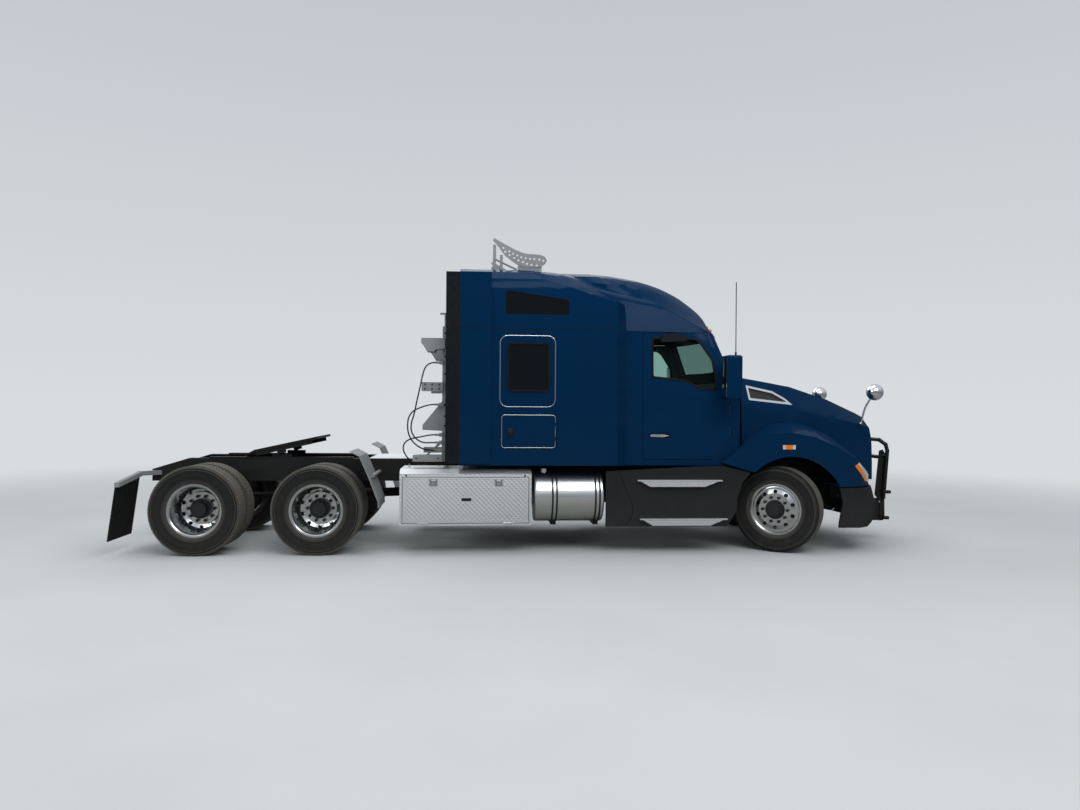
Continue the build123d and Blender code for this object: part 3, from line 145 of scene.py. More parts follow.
# Finishes of one colour. dust is its colour, the heights where it is most and gone, its share and its
# patches; wander is the roughness from, to and its patches; grain is a texture, its output, inputs and
# settings, and its depth
COATS = {
    # Black chassis enamel over rolled steel, dulled by road dust
    "chassis_enamel": dict(
        colour="#0D0E10", Roughness=0.5, Specular_IOR_Level=0.3,
        dust=("#4A463F", 0.2, 1.5, 0.3, 0.22), wander=(0.4, 0.66, 0.12),
    ),
    # Light grey paint on folded steel plate, chalky and streaked where water has run
    "grey_primer_steel": dict(
        colour="#8B8F90", Roughness=0.55,
        dust=("#5D574F", 0.6, 3.9, 0.55, 0.09), wander=(0.42, 0.7, 0.05),
    ),
    # Baked powder on steel tube: satin black with a fine pebbled skin, about 1 mm from pebble to pebble
    "black_powder_coat": dict(
        colour="#0B0C0E", Roughness=0.42, Specular_IOR_Level=0.35, dust=("#4F4B45", 0.2, 1.3, 0.14, 0.25),
        grain=("TexNoise", 0, {"Scale": 900.0, "Detail": 1.0}, {}, 0.00015),
    ),
    # Injection-moulded TPO panels in dark grey: dull, with a leathery grain of 2 mm and grey dust
    "grained_plastic": dict(
        colour="#121518", Roughness=0.58, Specular_IOR_Level=0.3,
        dust=("#5A564F", 0.2, 0.95, 0.22, 0.35), wander=(0.5, 0.66, 0.2),
        grain=("TexVoronoi", 0, {"Scale": 500.0}, {}, 0.0002),
    ),
    # Black EPDM: a soft dead black that greys with dust
    "extruded_rubber": dict(
        colour="#0A0C0E", Roughness=0.72, Specular_IOR_Level=0.2,
        dust=("#4C4842", 0.1, 1.2, 0.22, 0.2), wander=(0.62, 0.8, 0.06),
    ),
    # Dark privacy glass in the sleeper: nearly black from outside, with a sharp, weak reflection
    "privacy_glass": dict(colour="#06090C", Roughness=0.05, IOR=1.35, dust=("#2A3036", 1.6, 3.2, 0.08, 0.4)),
    # Chromium plate over buffed metal: a nearly clean mirror with a few dull water marks
    "chrome_plate": dict(
        colour="#E4E6E8", Metallic=1.0, Roughness=0.07,
        dust=("#9C9A96", 0.5, 2.2, 0.25, 0.08), wander=(0.05, 0.14, 0.04),
    ),
    # Punched black steel mesh behind the bright frames: openings 12 mm apart, drawn as relief
    "stamped_mesh": dict(
        colour="#0E0F11", Roughness=0.5, dust=("#34322F", 0.8, 2.1, 0.25, 0.2),
        grain=("TexVoronoi", 0, {"Scale": 1 / 0.012, "Randomness": 0.0}, {"feature": "DISTANCE_TO_EDGE"}, 0.004),
    ),
    # Moulded amber acrylic over a small lamp: bright orange, glossy
    "amber_lens": dict(
        colour="#E07A10", Roughness=0.12, Coat_Weight=1.0, IOR=1.49, dust=("#8A7A60", 0.4, 3.2, 0.15, 0.03)
    ),
    # Moulded red acrylic over a tail lamp: deep red, glossy
    "red_lens": dict(
        colour="#8E1010", Roughness=0.12, Coat_Weight=1.0, IOR=1.49, dust=("#5E4A44", 0.2, 1.4, 0.3, 0.05)
    ),
    # Grey woven seat cloth in checks of 2.4 mm, with the sheen of worn polyester
    "woven_seat_cloth": dict(
        colour="#34373A", Roughness=0.9, Sheen_Weight=0.4, dust=("#4C4E50", 1.0, 2.6, 0.4, 0.08),
        grain=("TexChecker", 1, {"Scale": 1 / 0.0024}, {}, 0.0004),
    ),
    # Moulded grey cab trim: dull, with a soft grain of 2.4 mm
    "cab_trim": dict(
        colour="#4A4E50", Roughness=0.68, dust=("#63625E", 1.0, 2.6, 0.3, 0.2),
        grain=("TexVoronoi", 0, {"Scale": 420.0}, {}, 0.0003),
    ),
    # Silvered mirror glass: a clean mirror under a thin film of dust
    "mirror_glass": dict(
        colour="#C9D2D6", Metallic=1.0, Roughness=0.03, dust=("#8E9494", 1.2, 3.0, 0.2, 0.1)
    ),
    # Black printed instrument face under clear plastic, with a soft gloss
    "dial_face": dict(colour="#0D0F11", Roughness=0.3, Coat_Weight=0.8, dust=("#33373A", 1.5, 2.4, 0.2, 0.06)),
    # Grey-beige mattress ticking: a diagonal twill, its lines about 3 mm apart
    "quilted_ticking": dict(
        colour="#77746C", Roughness=0.92, Sheen_Weight=0.3, dust=("#615F59", 1.0, 2.6, 0.4, 0.15),
        grain=("TexWave", 1, {"Scale": 2 * pi / 20 / 0.002}, {"bands_direction": "DIAGONAL"}, 0.0003),
    ),
    # Turned brass hose end, dulled brown by weather
    "brass_fitting": dict(
        colour="#8F7A4A", Metallic=1.0, Roughness=0.38, dust=("#4A443A", 0.6, 3.0, 0.6, 0.02)
    ),
}


def coated(name, colour, dust, wander=None, grain=None, **sockets):
    """A finish from its row of COATS."""
    mat, tree, shader = surface(name, colour, **sockets)
    place = weathered(tree, shader, colour, *dust)
    if wander:
        uneven(tree, shader, place, *wander)
    if grain:
        kind, out, inputs, settings, depth = grain
        relief(tree, shader, add(tree, kind, {"Vector": place, **inputs}, out, **settings), depth)
    return mat


def sprayed_blue(name):
    """Metallic blue lacquer, and what is needed to lay something over parts of it."""
    # Sprayed basecoat with fine aluminium flake under clear lacquer: a deep blue body under a sharp,
    # colourless gloss, with the faint orange peel of a sprayed panel, 7 mm across, and a little dust
    blue = (*bpy.context.scene.tractor_paint.body, 1.0)
    mat, tree, shader = surface(
        name, blue, Metallic=0.2, Roughness=0.45, Specular_IOR_Level=0.0, Coat_Weight=0.18, Coat_IOR=1.36,
        Coat_Roughness=0.04,
    )
    place = weathered(tree, shader, blue, "#4A5056", 0.8, 1.8, 0.08, 0.5)
    uneven(tree, shader, place, 0.36, 0.46, 0.004)
    relief(tree, shader, add(tree, "TexNoise", {"Vector": place, "Scale": 140.0, "Detail": 1.0}), 0.00006)
    return mat, tree, shader, place


def clearcoat_metallic_blue():
    return sprayed_blue("clearcoat_metallic_blue")[0]


def lined_metallic_blue():
    # Paint outside; inside the cab the same shells show moulded grey lining, dull, not paint
    mat, tree, shader, place = sprayed_blue("lined_metallic_blue")
    away = add(tree, "VectorMath", (place, CAB_MIDDLE), operation="SUBTRACT")
    facing_out = add(tree, "VectorMath", (add(tree, "TexCoord", out="Normal"), away), 1, operation="DOT_PRODUCT")
    lined = add(tree, "Math", (facing_out, 0.0), operation="LESS_THAN")
    over(tree, shader, lined, "#4B4E4E", Coat_Weight=0.0, Metallic=0.0)
    return mat


def mirror_housing():
    # Blue lacquer on the mirror heads against dull moulded black on the look-down mirror and the
    # aerial, so that the two small fittings read as separate
    mat, tree, shader, place = sprayed_blue("mirror_housing")
    behind = add(tree, "Math", (add(tree, "SeparateXYZ", (place,), 0), -1.1 + AXLE), operation="LESS_THAN")
    above = add(tree, "Math", (add(tree, "SeparateXYZ", (place,), 2), 2.279), operation="GREATER_THAN")
    over(tree, shader, add(tree, "Math", (behind, above), operation="MAXIMUM"), "#24272B", Coat_Weight=0.0)
    return mat


def polished_forging(name, centre, turn, side, face):
    """Forged aluminium wheel, polished on a lathe, with a black hub and dark lug nuts.

    centre and turn place the wheel's own axle on Y; face is how far out its disc's face lies. What
    stands out of that face within the bolt circle is the hub and the nuts. Behind the face, within the
    barrel, the disc is drawn black as well: painted shade seen through the hand holes.
    """
    # The eye gets a mirror with rings of polishing, drawn 2.5 mm apart; the hub and nuts are black, and
    # the disc's back near the hub is black as painted shade, seen through the hand holes
    mat, tree, shader = surface(name, "#DADCDD", Metallic=1.0, Roughness=0.13)
    place = add(tree, "TexCoord", out="Object")
    own = add(
        tree, "Mapping", {"Vector": place, "Location": centre, "Rotation": (0, 0, turn)}, vector_type="TEXTURE"
    )
    flat = add(tree, "VectorMath", (own, (1, 0, 1)), operation="MULTIPLY")
    radius = add(tree, "VectorMath", (flat,), 1, operation="LENGTH")
    outward = add(tree, "Math", (add(tree, "SeparateXYZ", (own,), 1), side), operation="MULTIPLY")
    stands = add(tree, "Math", (outward, face + 0.003), operation="GREATER_THAN")
    near = add(tree, "Math", (radius, 0.168), operation="LESS_THAN")
    inside = add(tree, "Math", (outward, face - 0.03), operation="LESS_THAN")
    barrel = add(tree, "Math", (radius, 0.2), operation="LESS_THAN")
    dark = add(tree, "Math", (stands, near), operation="MULTIPLY")
    # Painted shade: behind the disc face, within the barrel, black stands for the shade seen through the hand holes
    back = add(tree, "Math", (inside, barrel), operation="MULTIPLY")
    # The real black of the hub and nuts, together with that painted shade
    black = add(tree, "Math", (dark, back), operation="MAXIMUM")
    grime = add(tree, "TexNoise", {"Vector": place, "Scale": 22.0, "Detail": 5.0, "Roughness": 0.7})
    shade = add(tree, "MapRange", (grime, 0.35, 0.8, 0.0, 0.45))
    bright = add(tree, "Mix", {0: shade, 6: linear("#DADCDD"), 7: linear("#8E8B86")}, 2, data_type="RGBA")
    colour = add(tree, "Mix", {0: black, 6: bright, 7: linear("#16181A")}, 2, data_type="RGBA")
    tree.links.new(colour, shader.inputs["Base Color"])
    tree.links.new(add(tree, "Math", (1.0, black), operation="SUBTRACT"), shader.inputs["Metallic"])
    rough = add(tree, "Mix", {0: black, 2: 0.14, 3: 0.45}, data_type="FLOAT")
    rough = add(tree, "Math", (shade, 0.35, rough), operation="MULTIPLY_ADD")
    tree.links.new(rough, shader.inputs["Roughness"])
    rings = add(tree, "Math", (radius, 2 * pi / 0.0025), operation="MULTIPLY")
    relief(tree, shader, add(tree, "Math", (rings,), operation="SINE"), 0.00001, 0.5)
    return mat


def brushed_tank_aluminium():
    # Rolled aluminium sheet, brushed along the tank: satin, with long faint streaks about 2 mm apart
    mat, tree, shader = surface("brushed_tank_aluminium", "#E6E8E9", Metallic=1.0, Roughness=0.26)
    place = weathered(tree, shader, "#E6E8E9", "#857F77", 0.3, 0.8, 0.35, 0.25)
    long = add(tree, "Mapping", {"Vector": place, "Scale": (1.5, 420.0, 420.0)})
    streak = add(tree, "TexNoise", {"Vector": long, "Scale": 1.0, "Detail": 2.0})
    tree.links.new(add(tree, "MapRange", (streak, 0.3, 0.7, 0.2, 0.36)), shader.inputs["Roughness"])
    relief(tree, shader, streak, 0.00002)
    return mat


def diamond_plate():
    # Bright aluminium tread plate: crossed raised lozenges about 26 mm apart rolled into the sheet
    pitch = 0.026
    mat, tree, shader = surface("diamond_plate", "#E2E4E5", Metallic=1.0, Roughness=0.3)
    place = weathered(tree, shader, "#E2E4E5", "#A09C95", 0.3, 1.0, 0.2, 0.3)
    shifted = add(tree, "Mapping", {"Vector": place, "Location": (0.0071, 0.0071, 0.0071)})
    turned = add(tree, "VectorMath", (shifted, (-1, 1, 1)), operation="MULTIPLY")
    bands = []
    for way in (shifted, turned):
        inputs = {"Vector": way, "Scale": 2 * pi / 20 / pitch, "Distortion": 0.0}
        wave = add(tree, "TexWave", inputs, 1, bands_direction="DIAGONAL")
        bands.append(add(tree, "MapRange", (wave, 0.62, 0.9, 0.0, 1.0)))
    cells = add(tree, "TexChecker", {"Vector": shifted, "Scale": 1 / pitch}, 1)
    lozenge = add(tree, "Mix", {0: cells, 2: bands[0], 3: bands[1]}, data_type="FLOAT")
    relief(tree, shader, lozenge, 0.0018)
    tree.links.new(add(tree, "MapRange", (lozenge, 0.0, 1.0, 0.5, 0.34)), shader.inputs["Roughness"])
    return mat


def tyre_rubber():
    # Vulcanised tread and sidewall: charcoal, with brown-grey dust in patches, and paler on the sharp
    # edges of the blocks, partly dust and partly painted highlight that brings out the tread
    mat, tree, shader = surface("tyre_rubber", "#121314", Roughness=0.78, Specular_IOR_Level=0.25)
    place = weathered(tree, shader, "#121314", "#4E4A44", 0.0, 1.3, 0.36, 0.18)
    uneven(tree, shader, place, 0.68, 0.88, 0.05)
    # Paler on convex edges: dust there, and a painted edge highlight
    edge = add(tree, "NewGeometry", out="Pointiness")
    over(tree, shader, add(tree, "MapRange", (edge, 0.505, 0.56, 0.0, 0.55)), "#77726A")
    relief(tree, shader, add(tree, "TexNoise", {"Vector": place, "Scale": 220.0, "Detail": 3.0}), 0.0004)
    return mat


def green_tinted_glass():
    # Float glass with a green-blue solar tint, laminated or toughened: clear, with hard reflections.
    # Light goes straight through with a tint, and the surface mirrors more at a flat angle
    mat, tree, shader = surface("green_tinted_glass", "#1B2A2B", Roughness=0.03, Coat_Weight=0.4)
    weathered(tree, shader, "#1B2A2B", "#7E8785", 1.6, 2.6, 0.1, 0.3)
    clear = add(tree, "BsdfTransparent", (linear("#E3F3EF"),))
    share = add(tree, "MapRange", (add(tree, "LayerWeight", (0.35,)), 0.0, 1.0, 0.05, 0.6))
    mixed = add(tree, "MixShader", (share, clear, shader.outputs[0]))
    tree.links.new(mixed, tree.nodes["Material Output"].inputs[0])
    return mat


def chassis_casting():
    # Sand-cast and forged running gear, painted black long ago: rough, dusty, a little rust
    mat, tree, shader = surface("chassis_casting", "#161615", Roughness=0.75, Specular_IOR_Level=0.25)
    place = add(tree, "TexCoord", out="Object")
    rust = add(tree, "TexNoise", {"Vector": place, "Scale": 14.0, "Detail": 7.0})
    part = add(tree, "MapRange", (rust, 0.5, 0.75, 0.0, 0.6))
    colour = add(tree, "Mix", {0: part, 6: linear("#161615"), 7: linear("#33261C")}, 2, data_type="RGBA")
    weathered(tree, shader, colour, "#4A463F", 0.0, 1.2, 0.32, 0.15)
    relief(tree, shader, add(tree, "TexNoise", {"Vector": place, "Scale": 260.0, "Detail": 3.0}), 0.0006)
    return mat


def moulded_lens(name, patches):
    """Clear polycarbonate over the lamps, with amber where a patch says.

    Each patch is the X and Z of its middle, its half length, its half height and its slope.
    """
    # Clear plastic reads as bright grey glass with upright flutes 12 mm apart, drawn as dark and pale
    # stripes in its colour: painted reflection in the flutes; the amber glows
    mat, tree, shader = surface(name, "#C9D0D4", Roughness=0.08, IOR=1.58, Coat_Weight=1.0, Coat_Roughness=0.03)
    place = add(tree, "TexCoord", out="Object")
    amber = 0.0
    for x, z, half_x, half_z, slope in patches:
        local = add(tree, "VectorMath", (place, (x + AXLE, 0, z)), operation="SUBTRACT")
        along, up = (add(tree, "SeparateXYZ", (local,), axis) for axis in (0, 2))
        line = add(tree, "Math", (along, -slope, up), operation="MULTIPLY_ADD")
        sizes = [add(tree, "Math", (value,), operation="ABSOLUTE") for value in (line, along)]
        inside = [
            add(tree, "Math", (size, limit), operation="LESS_THAN") for size, limit in zip(sizes, (half_z, half_x))
        ]
        patch = add(tree, "Math", inside, operation="MULTIPLY")
        amber = add(tree, "Math", (amber, patch), operation="MAXIMUM")
    flutes = add(tree, "TexWave", {"Vector": place, "Scale": 2 * pi / 20 / 0.012}, 1, bands_direction="X")
    # Painted reflection: the flutes' dark and pale stripes are laid into the lens's colour
    shade = add(tree, "Mix", {0: flutes, 6: linear("#868F95"), 7: linear("#DDE3E6")}, 2, data_type="RGBA")
    colour = add(tree, "Mix", {0: amber, 6: shade, 7: linear("#E8780A")}, 2, data_type="RGBA")
    tree.links.new(colour, shader.inputs["Base Color"])
    relief(tree, shader, flutes, 0.0006)
    return mat


PATTERNED = (
    clearcoat_metallic_blue, lined_metallic_blue, mirror_housing, brushed_tank_aluminium, diamond_plate,
    tyre_rubber, green_tinted_glass, chassis_casting,
)
MAKERS = {maker.__name__: maker for maker in PATTERNED}
FINISHES = {}


def finish(name):
    """The material of a finish, made once."""
    if name not in FINISHES:
        FINISHES[name] = MAKERS[name]() if name in MAKERS else coated(name, **COATS[name])
    return FINISHES[name]


# Shapes


def joined(pieces):
    """Several bmeshes as one."""
    whole = bmesh.new()
    for bm in pieces:
        mesh = bpy.data.meshes.new("part")
        bm.to_mesh(mesh)
        whole.from_mesh(mesh)
        bpy.data.meshes.remove(mesh)
        bm.free()
    return whole


def piece(name, bm, kind, body, replaces=(), sharp=35, shift=AXLE):
    """Turns a bmesh into a piece that rides on a body. shift is 0 where it is in the CAD's frame."""
    bmesh.ops.translate(bm, vec=(shift, 0, 0), verts=bm.verts[:])
    bmesh.ops.recalc_face_normals(bm, faces=bm.faces[:])
    for face in bm.faces:
        face.smooth = True
    for edge in bm.edges:
        edge.smooth = edge.calc_face_angle(0.0) < radians(sharp)
    mesh = bpy.data.meshes.new(name)
    bm.to_mesh(mesh)
    bm.free()
    mesh.materials.append(finish(kind))
    made = bpy.data.objects.new(name, mesh)
    bpy.context.scene.collection.objects.link(made)
    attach(made, body)
    if replaces:
        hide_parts(*replaces)
    return made


def mirrored(bm):
    """The same shape on the other side of the truck."""
    bmesh.ops.scale(bm, vec=(1, -1, 1), verts=bm.verts[:])
    bmesh.ops.reverse_faces(bm, faces=bm.faces[:])
    return bm


def pair(name, bm, kind, body):
    """A piece on the right and its mirror image on the left; {} in the body's name is the side."""
    for side, k in SIDES:
        own = bm.copy() if k < 0 else mirrored(bm.copy())
        piece(f"{name}_{side}", own, kind, body.format(side))
    bm.free()


def outline(points, radius=0.0, segments=5):
    """One side-view face at Y 0 from its corners, which are rounded."""
    bm = bmesh.new()
    bm.faces.new([bm.verts.new((x, 0, z)) for x, z in points])
    bmesh.ops.bevel(
        bm, geom=bm.verts[:], offset=radius, segments=segments, profile=0.5, affect="VERTICES", material=-1
    )
    return bm


def hollow(bm, width):
    """Leaves a band of a width along the rim of a flat face."""
    bmesh.ops.inset_region(bm, faces=bm.faces[:], thickness=width, use_boundary=True, use_even_offset=True)
    middle = max(bm.faces, key=lambda f: f.calc_area() if len(f.verts) > 4 else 0)
    bmesh.ops.delete(bm, geom=[middle], context="FACES_ONLY")
    return bm


def pushed(bm, depth, soften=0.0, segments=2):
    """Pushes flat faces along Y by a depth and softens the outer edges."""
    top = bmesh.ops.extrude_face_region(bm, geom=bm.faces[:])["geom"]
    verts = [g for g in top if isinstance(g, bmesh.types.BMVert)]
    bmesh.ops.translate(bm, verts=verts, vec=(0, depth, 0))
    if soften:
        moved = set(verts)
        rim = [e for e in bm.edges if moved.issuperset(e.verts) and e.calc_face_angle(0) > 0.6]
        bmesh.ops.bevel(
            bm, geom=rim, offset=soften, segments=segments, profile=0.5, affect="EDGES", material=-1,
            clamp_overlap=True,
        )
    return bm


def slab(low, high, soften=0.004, segments=2):
    """A block between two corners with softened edges."""
    bm = bmesh.new()
    bmesh.ops.create_cube(bm, size=1.0)
    bmesh.ops.scale(bm, vec=[b - a for a, b in zip(low, high)], verts=bm.verts[:])
    bmesh.ops.translate(bm, vec=[(a + b) / 2 for a, b in zip(low, high)], verts=bm.verts[:])
    bmesh.ops.bevel(
        bm, geom=bm.edges[:], offset=soften, segments=segments, profile=0.5, affect="EDGES", material=-1
    )
    return bm


def spun(profile, steps=40):
    """A chain of (radius, along) pairs turned round the Y axis. Ends on the axis close into poles."""
    bm = bmesh.new()
    verts = [bm.verts.new((r, y, 0)) for r, y in profile]
    edges = [bm.edges.new(ends) for ends in zip(verts, verts[1:])]
    bmesh.ops.spin(
        bm, geom=verts + edges, cent=(0, 0, 0), axis=(0, 1, 0), dvec=(0, 0, 0), angle=2 * pi, steps=steps,
        use_merge=True,
    )
    bmesh.ops.remove_doubles(bm, verts=bm.verts[:], dist=1e-5)
    bmesh.ops.recalc_face_normals(bm, faces=bm.faces[:])
    return bm


def placed(bm, place, turn=None):
    """Turns a bmesh about the origin, then moves it to a place."""
    if turn is not None:
        bmesh.ops.transform(bm, matrix=turn, verts=bm.verts[:])
    bmesh.ops.translate(bm, vec=place, verts=bm.verts[:])
    return bm


def facing(way):
    """The turn that brings +Y onto a direction."""
    return Vector((0, 1, 0)).rotation_difference(Vector(way)).to_matrix().to_4x4()


def bolt(place, way, radius, height, sides=6):
    """A chamfered bolt head that stands on a face."""
    bm = bmesh.new()
    bmesh.ops.create_cone(bm, cap_ends=True, segments=sides, radius1=radius, radius2=radius * 0.86, depth=height)
    bmesh.ops.rotate(bm, cent=(0, 0, 0), matrix=Matrix.Rotation(-pi / 2, 3, "X"), verts=bm.verts[:])
    bmesh.ops.translate(bm, vec=(0, height / 2, 0), verts=bm.verts[:])
    return placed(bm, place, facing(way))


def bar(start, end, radius, sides=12):
    """A round bar with softened ends between two points."""
    start, end = Vector(start), Vector(end)
    way = end - start
    long = way.length
    soft = min(radius * 0.3, long / 4)
    profile = [(0, 0), (radius - soft, 0), (radius, soft), (radius, long - soft), (radius - soft, long), (0, long)]
    return placed(spun(profile, sides), start, facing(way))


def tube(name, points, radius, kind, body):
    """A bent round tube or rod through points in the CAD's frame."""
    curve = bpy.data.curves.new(name, "CURVE")
    curve.dimensions = "3D"
    curve.bevel_depth = radius
    curve.bevel_resolution = 3
    curve.use_fill_caps = True
    line = curve.splines.new("NURBS")
    line.points.add(len(points) - 1)
    for point, place in zip(line.points, points):
        point.co = (*place, 1)
    line.order_u = 3
    line.use_endpoint_u = True
    curve.materials.append(finish(kind))
    made = bpy.data.objects.new(name, curve)
    bpy.context.scene.collection.objects.link(made)
    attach(made, body)
    return made


CAB_REAR = -1.939
# The cab's side by level: height, half width at the rear, half width and X at the front corner
CAB_LEVELS = (
    (1.010, 1.120, 1.120, -0.585),
    (1.780, 1.120, 1.116, -0.600),
    (2.060, 1.120, 1.080, -0.700),
    (2.560, 1.105, 1.000, -0.905),
)


def cab_side(x, z):
    """Half width of the cab's skin at a side-view point."""
    for low, high in zip(CAB_LEVELS, CAB_LEVELS[1:]):
        if z <= high[0] or high is CAB_LEVELS[-1]:
            t = min(max((z - low[0]) / (high[0] - low[0]), 0), 1)
            rear, front, corner = (a + (b - a) * t for a, b in zip(low[1:], high[1:]))
            return rear + (front - rear) * (x - CAB_REAR) / (corner - CAB_REAR)


def onto_cab(bm, out):
    """Lays a side-view shape drawn round Y 0 on the right of the cab's skin; +Y of the drawing is out."""
    for vert in bm.verts:
        vert.co.y = -(cab_side(vert.co.x, vert.co.z) + out + vert.co.y)
    return bm


def solid(name):
    """A CAD node's mesh, in the CAD's frame."""
    bm = bmesh.new()
    bm.from_mesh(frame["nodes"][name].data)
    return bm


def skin(name):
    """A tree of a CAD node's faces to cast rays at, in the CAD's frame."""
    bm = solid(name)
    tree = BVHTree.FromBMesh(bm)
    bm.free()
    return tree


# Sizes and colours that a user would change


class TreadSizes(bpy.types.PropertyGroup):
    """Sizes of the tyres' tread"""

    blocks: IntProperty(name="Blocks", description="Tread blocks round a drive tyre", default=84, min=40, max=160)
    depth: FloatProperty(
        name="Depth", description="Depth of the tread", default=0.016, unit="LENGTH", subtype="DISTANCE"
    )
    groove: FloatProperty(
        name="Groove", description="Width of a front tyre's grooves", default=0.010, unit="LENGTH",
        subtype="DISTANCE",
    )


class PaintColours(bpy.types.PropertyGroup):
    """Colours of the sprayed panels"""

    body: FloatVectorProperty(
        name="Body", description="Colour of the metallic lacquer", default=linear("#032848")[:3], size=3, min=0.0,
        max=1.0, subtype="COLOR",
    )


# Camera


class TRACTOR_OT_camera(bpy.types.Operator):
    """Sets the camera where the photograph was taken from"""

    bl_idname = "tractor.camera"
    bl_label = "Camera"

    def execute(self, context):
        yaw, pitch, roll = radians(4.2), radians(0.08), radians(0.426)
        right = Vector((cos(yaw), -sin(yaw), 0))
        ahead = Vector((sin(yaw) * cos(pitch), cos(yaw) * cos(pitch), sin(pitch)))
        up = Vector((-sin(yaw) * sin(pitch), -cos(yaw) * sin(pitch), cos(pitch)))
        axes = Matrix((right * cos(roll) + up * sin(roll), up * cos(roll) - right * sin(roll), -ahead))
        data = bpy.data.cameras.new("photo_view")
        data.sensor_fit = "HORIZONTAL"
        data.sensor_width = 36.0
        data.lens = 26.947
        data.clip_end = 200
        camera = bpy.data.objects.new("photo_view", data)
        camera.matrix_world = Matrix.Translation((-0.574, -10.353, 1.685)) @ axes.transposed().to_4x4()
        context.scene.collection.objects.link(camera)
        context.scene.camera = camera
        return {"FINISHED"}


# Air hoses

HOSE_R = 0.008
# Each hose's length, and the points of its route as in the part's source
HOSES = {
    "air_hose_upper": (1.259, [
        (-4.125, -0.945, 2.180), (-4.195, -0.945, 2.180), (-4.255, -0.958, 2.130), (-4.283, -0.990, 2.035),
        (-4.308, -1.005, 1.895), (-4.345, -1.006, 1.735), (-4.374, -0.998, 1.580), (-4.410, -1.000, 1.475),
        (-4.407, -1.000, 1.375), (-4.352, -0.996, 1.293), (-4.262, -0.970, 1.250), (-4.190, -0.945, 1.255),
        (-4.125, -0.945, 1.255),
    ]),
    "air_hose_middle": (0.978, [
        (-4.125, -0.945, 1.695), (-4.200, -0.945, 1.695), (-4.300, -0.952, 1.662), (-4.390, -0.965, 1.622),
        (-4.440, -0.985, 1.550), (-4.449, -1.010, 1.462), (-4.440, -1.034, 1.370), (-4.400, -1.040, 1.282),
        (-4.330, -1.022, 1.213), (-4.245, -0.980, 1.172), (-4.190, -0.945, 1.165), (-4.125, -0.945, 1.165),
    ]),
    "air_hose_lower": (0.661, [
        (-4.125, -0.945, 1.345), (-4.190, -0.945, 1.345), (-4.290, -0.940, 1.322), (-4.395, -0.946, 1.305),
        (-4.475, -0.955, 1.270), (-4.507, -0.957, 1.197), (-4.480, -0.955, 1.115), (-4.430, -0.950, 1.060),
        (-4.430, -0.950, 0.990),
    ]),
}
FERRULE = [
    (0.0084, 0.0), (0.0125, 0.0), (0.0125, 0.007), (0.0112, 0.009), (0.0100, 0.022), (0.0084, 0.022),
    (0.0084, 0.0),
]


class TRACTOR_OT_air_hoses(bpy.types.Operator):
    """Hangs the three air hoses behind the cab, with their crimped ends"""

    bl_idname = "tractor.air_hoses"
    bl_label = "Air hoses"

    def execute(self, context):
        for name, (length, points) in HOSES.items():
            route = [Vector((x + AXLE, y, z)) for x, y, z in points]
            made = tube(f"{name}_rubber", route, HOSE_R, "extruded_rubber", "chassis")
            ends = [
                placed(spun(FERRULE, 16), end, facing(inner - end))
                for end, inner in ((route[0], route[1]), (route[-1], route[-2]))
            ]
            crimps = piece(f"{name}_crimps", joined(ends), "brass_fitting", "chassis", shift=0)
            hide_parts(name)
        return {"FINISHED"}


# Finishes of the CAD nodes

SLOT_FINISH = {
    "body_paint": "clearcoat_metallic_blue",
    "frame_paint": "chassis_enamel",
    "bracket_paint": "grey_primer_steel",
    "guard_paint": "black_powder_coat",
    "tank_aluminium": "brushed_tank_aluminium",
    "tread_plate": "diamond_plate",
    "fairing_plastic": "grained_plastic",
    "edge_rubber": "extruded_rubber",
    "tyre_rubber": "tyre_rubber",
    "tinted_glass": "green_tinted_glass",
    "chrome": "chrome_plate",
    "cast_iron": "chassis_casting",
    "trim_fabric": "cab_trim",
    "hose_rubber": "extruded_rubber",
}
NODE_FINISH = {
    "sleeper_glass": "privacy_glass",
    "hood_mesh": "stamped_mesh",
    **{node: "lined_metallic_blue" for node in ("cab_shell", "sleeper_shell", "roof_cap", "door_left", "door_right")},
    **{node: "mirror_housing" for node in ("door_mirror_left", "door_mirror_right")},
}
# The headlamp's turn signal and the middle of the marker lamp on the fender
LENS_PATCHES = ((0.854, 0.945, 0.12, 0.042, -1.064), (-0.045, 1.232, 0.042, 0.05, 0.0))


def steer_centre(k):
    """The middle of a front wheel, which stands turned about its kingpin."""
    return (k * WHEEL_OFFSET * sin(STEER), k * (KINGPIN_Y + WHEEL_OFFSET * cos(STEER)), TYRE_R)


def wheel_finish(node):
    """The polished finish of one wheel, centred on its own axle."""
    k = -1 if node.endswith("right") else 1
    if node.startswith("steer"):
        (x, y, z), turn, face = steer_centre(k), -STEER, 0.130
    else:
        x, y, z = DRIVE_X["forward" if "forward" in node else "rear"], k * DRIVE_Y, TYRE_R
        turn, face = 0.0, 0.022
    return polished_forging(f"polished_{node}", (x + AXLE, y, z), turn, k, face)


class TRACTOR_OT_finishes(bpy.types.Operator):
    """Gives each CAD node the material of what it is made of"""

    bl_idname = "tractor.finishes"
    bl_label = "Finishes"

    def execute(self, context):
        slots = {row["node"]: row["material_slot"] for row in frame["record"]["subparts"]}
        for node, made in frame["nodes"].items():
            if slots[node] == "polished_aluminium":
                material = wheel_finish(node)
            elif node == "lamps":
                material = moulded_lens("moulded_lens", LENS_PATCHES)
            else:
                material = finish(NODE_FINISH.get(node) or SLOT_FINISH[slots[node]])
            made.data.materials.clear()
            made.data.materials.append(material)
        return {"FINISHED"}


# Body panels: node, body, paint, angle of the edges that stay firm, turns of smoothing
SMOOTHED = (
    ("roof_cap", "chassis", "lined_metallic_blue", 24, 14),
    ("hood", "hood", "clearcoat_metallic_blue", 30, 16),
)
LONGEST_EDGE = 0.09  # what the panels are cut down to before they are smoothed
CUTTING_TURNS = 5


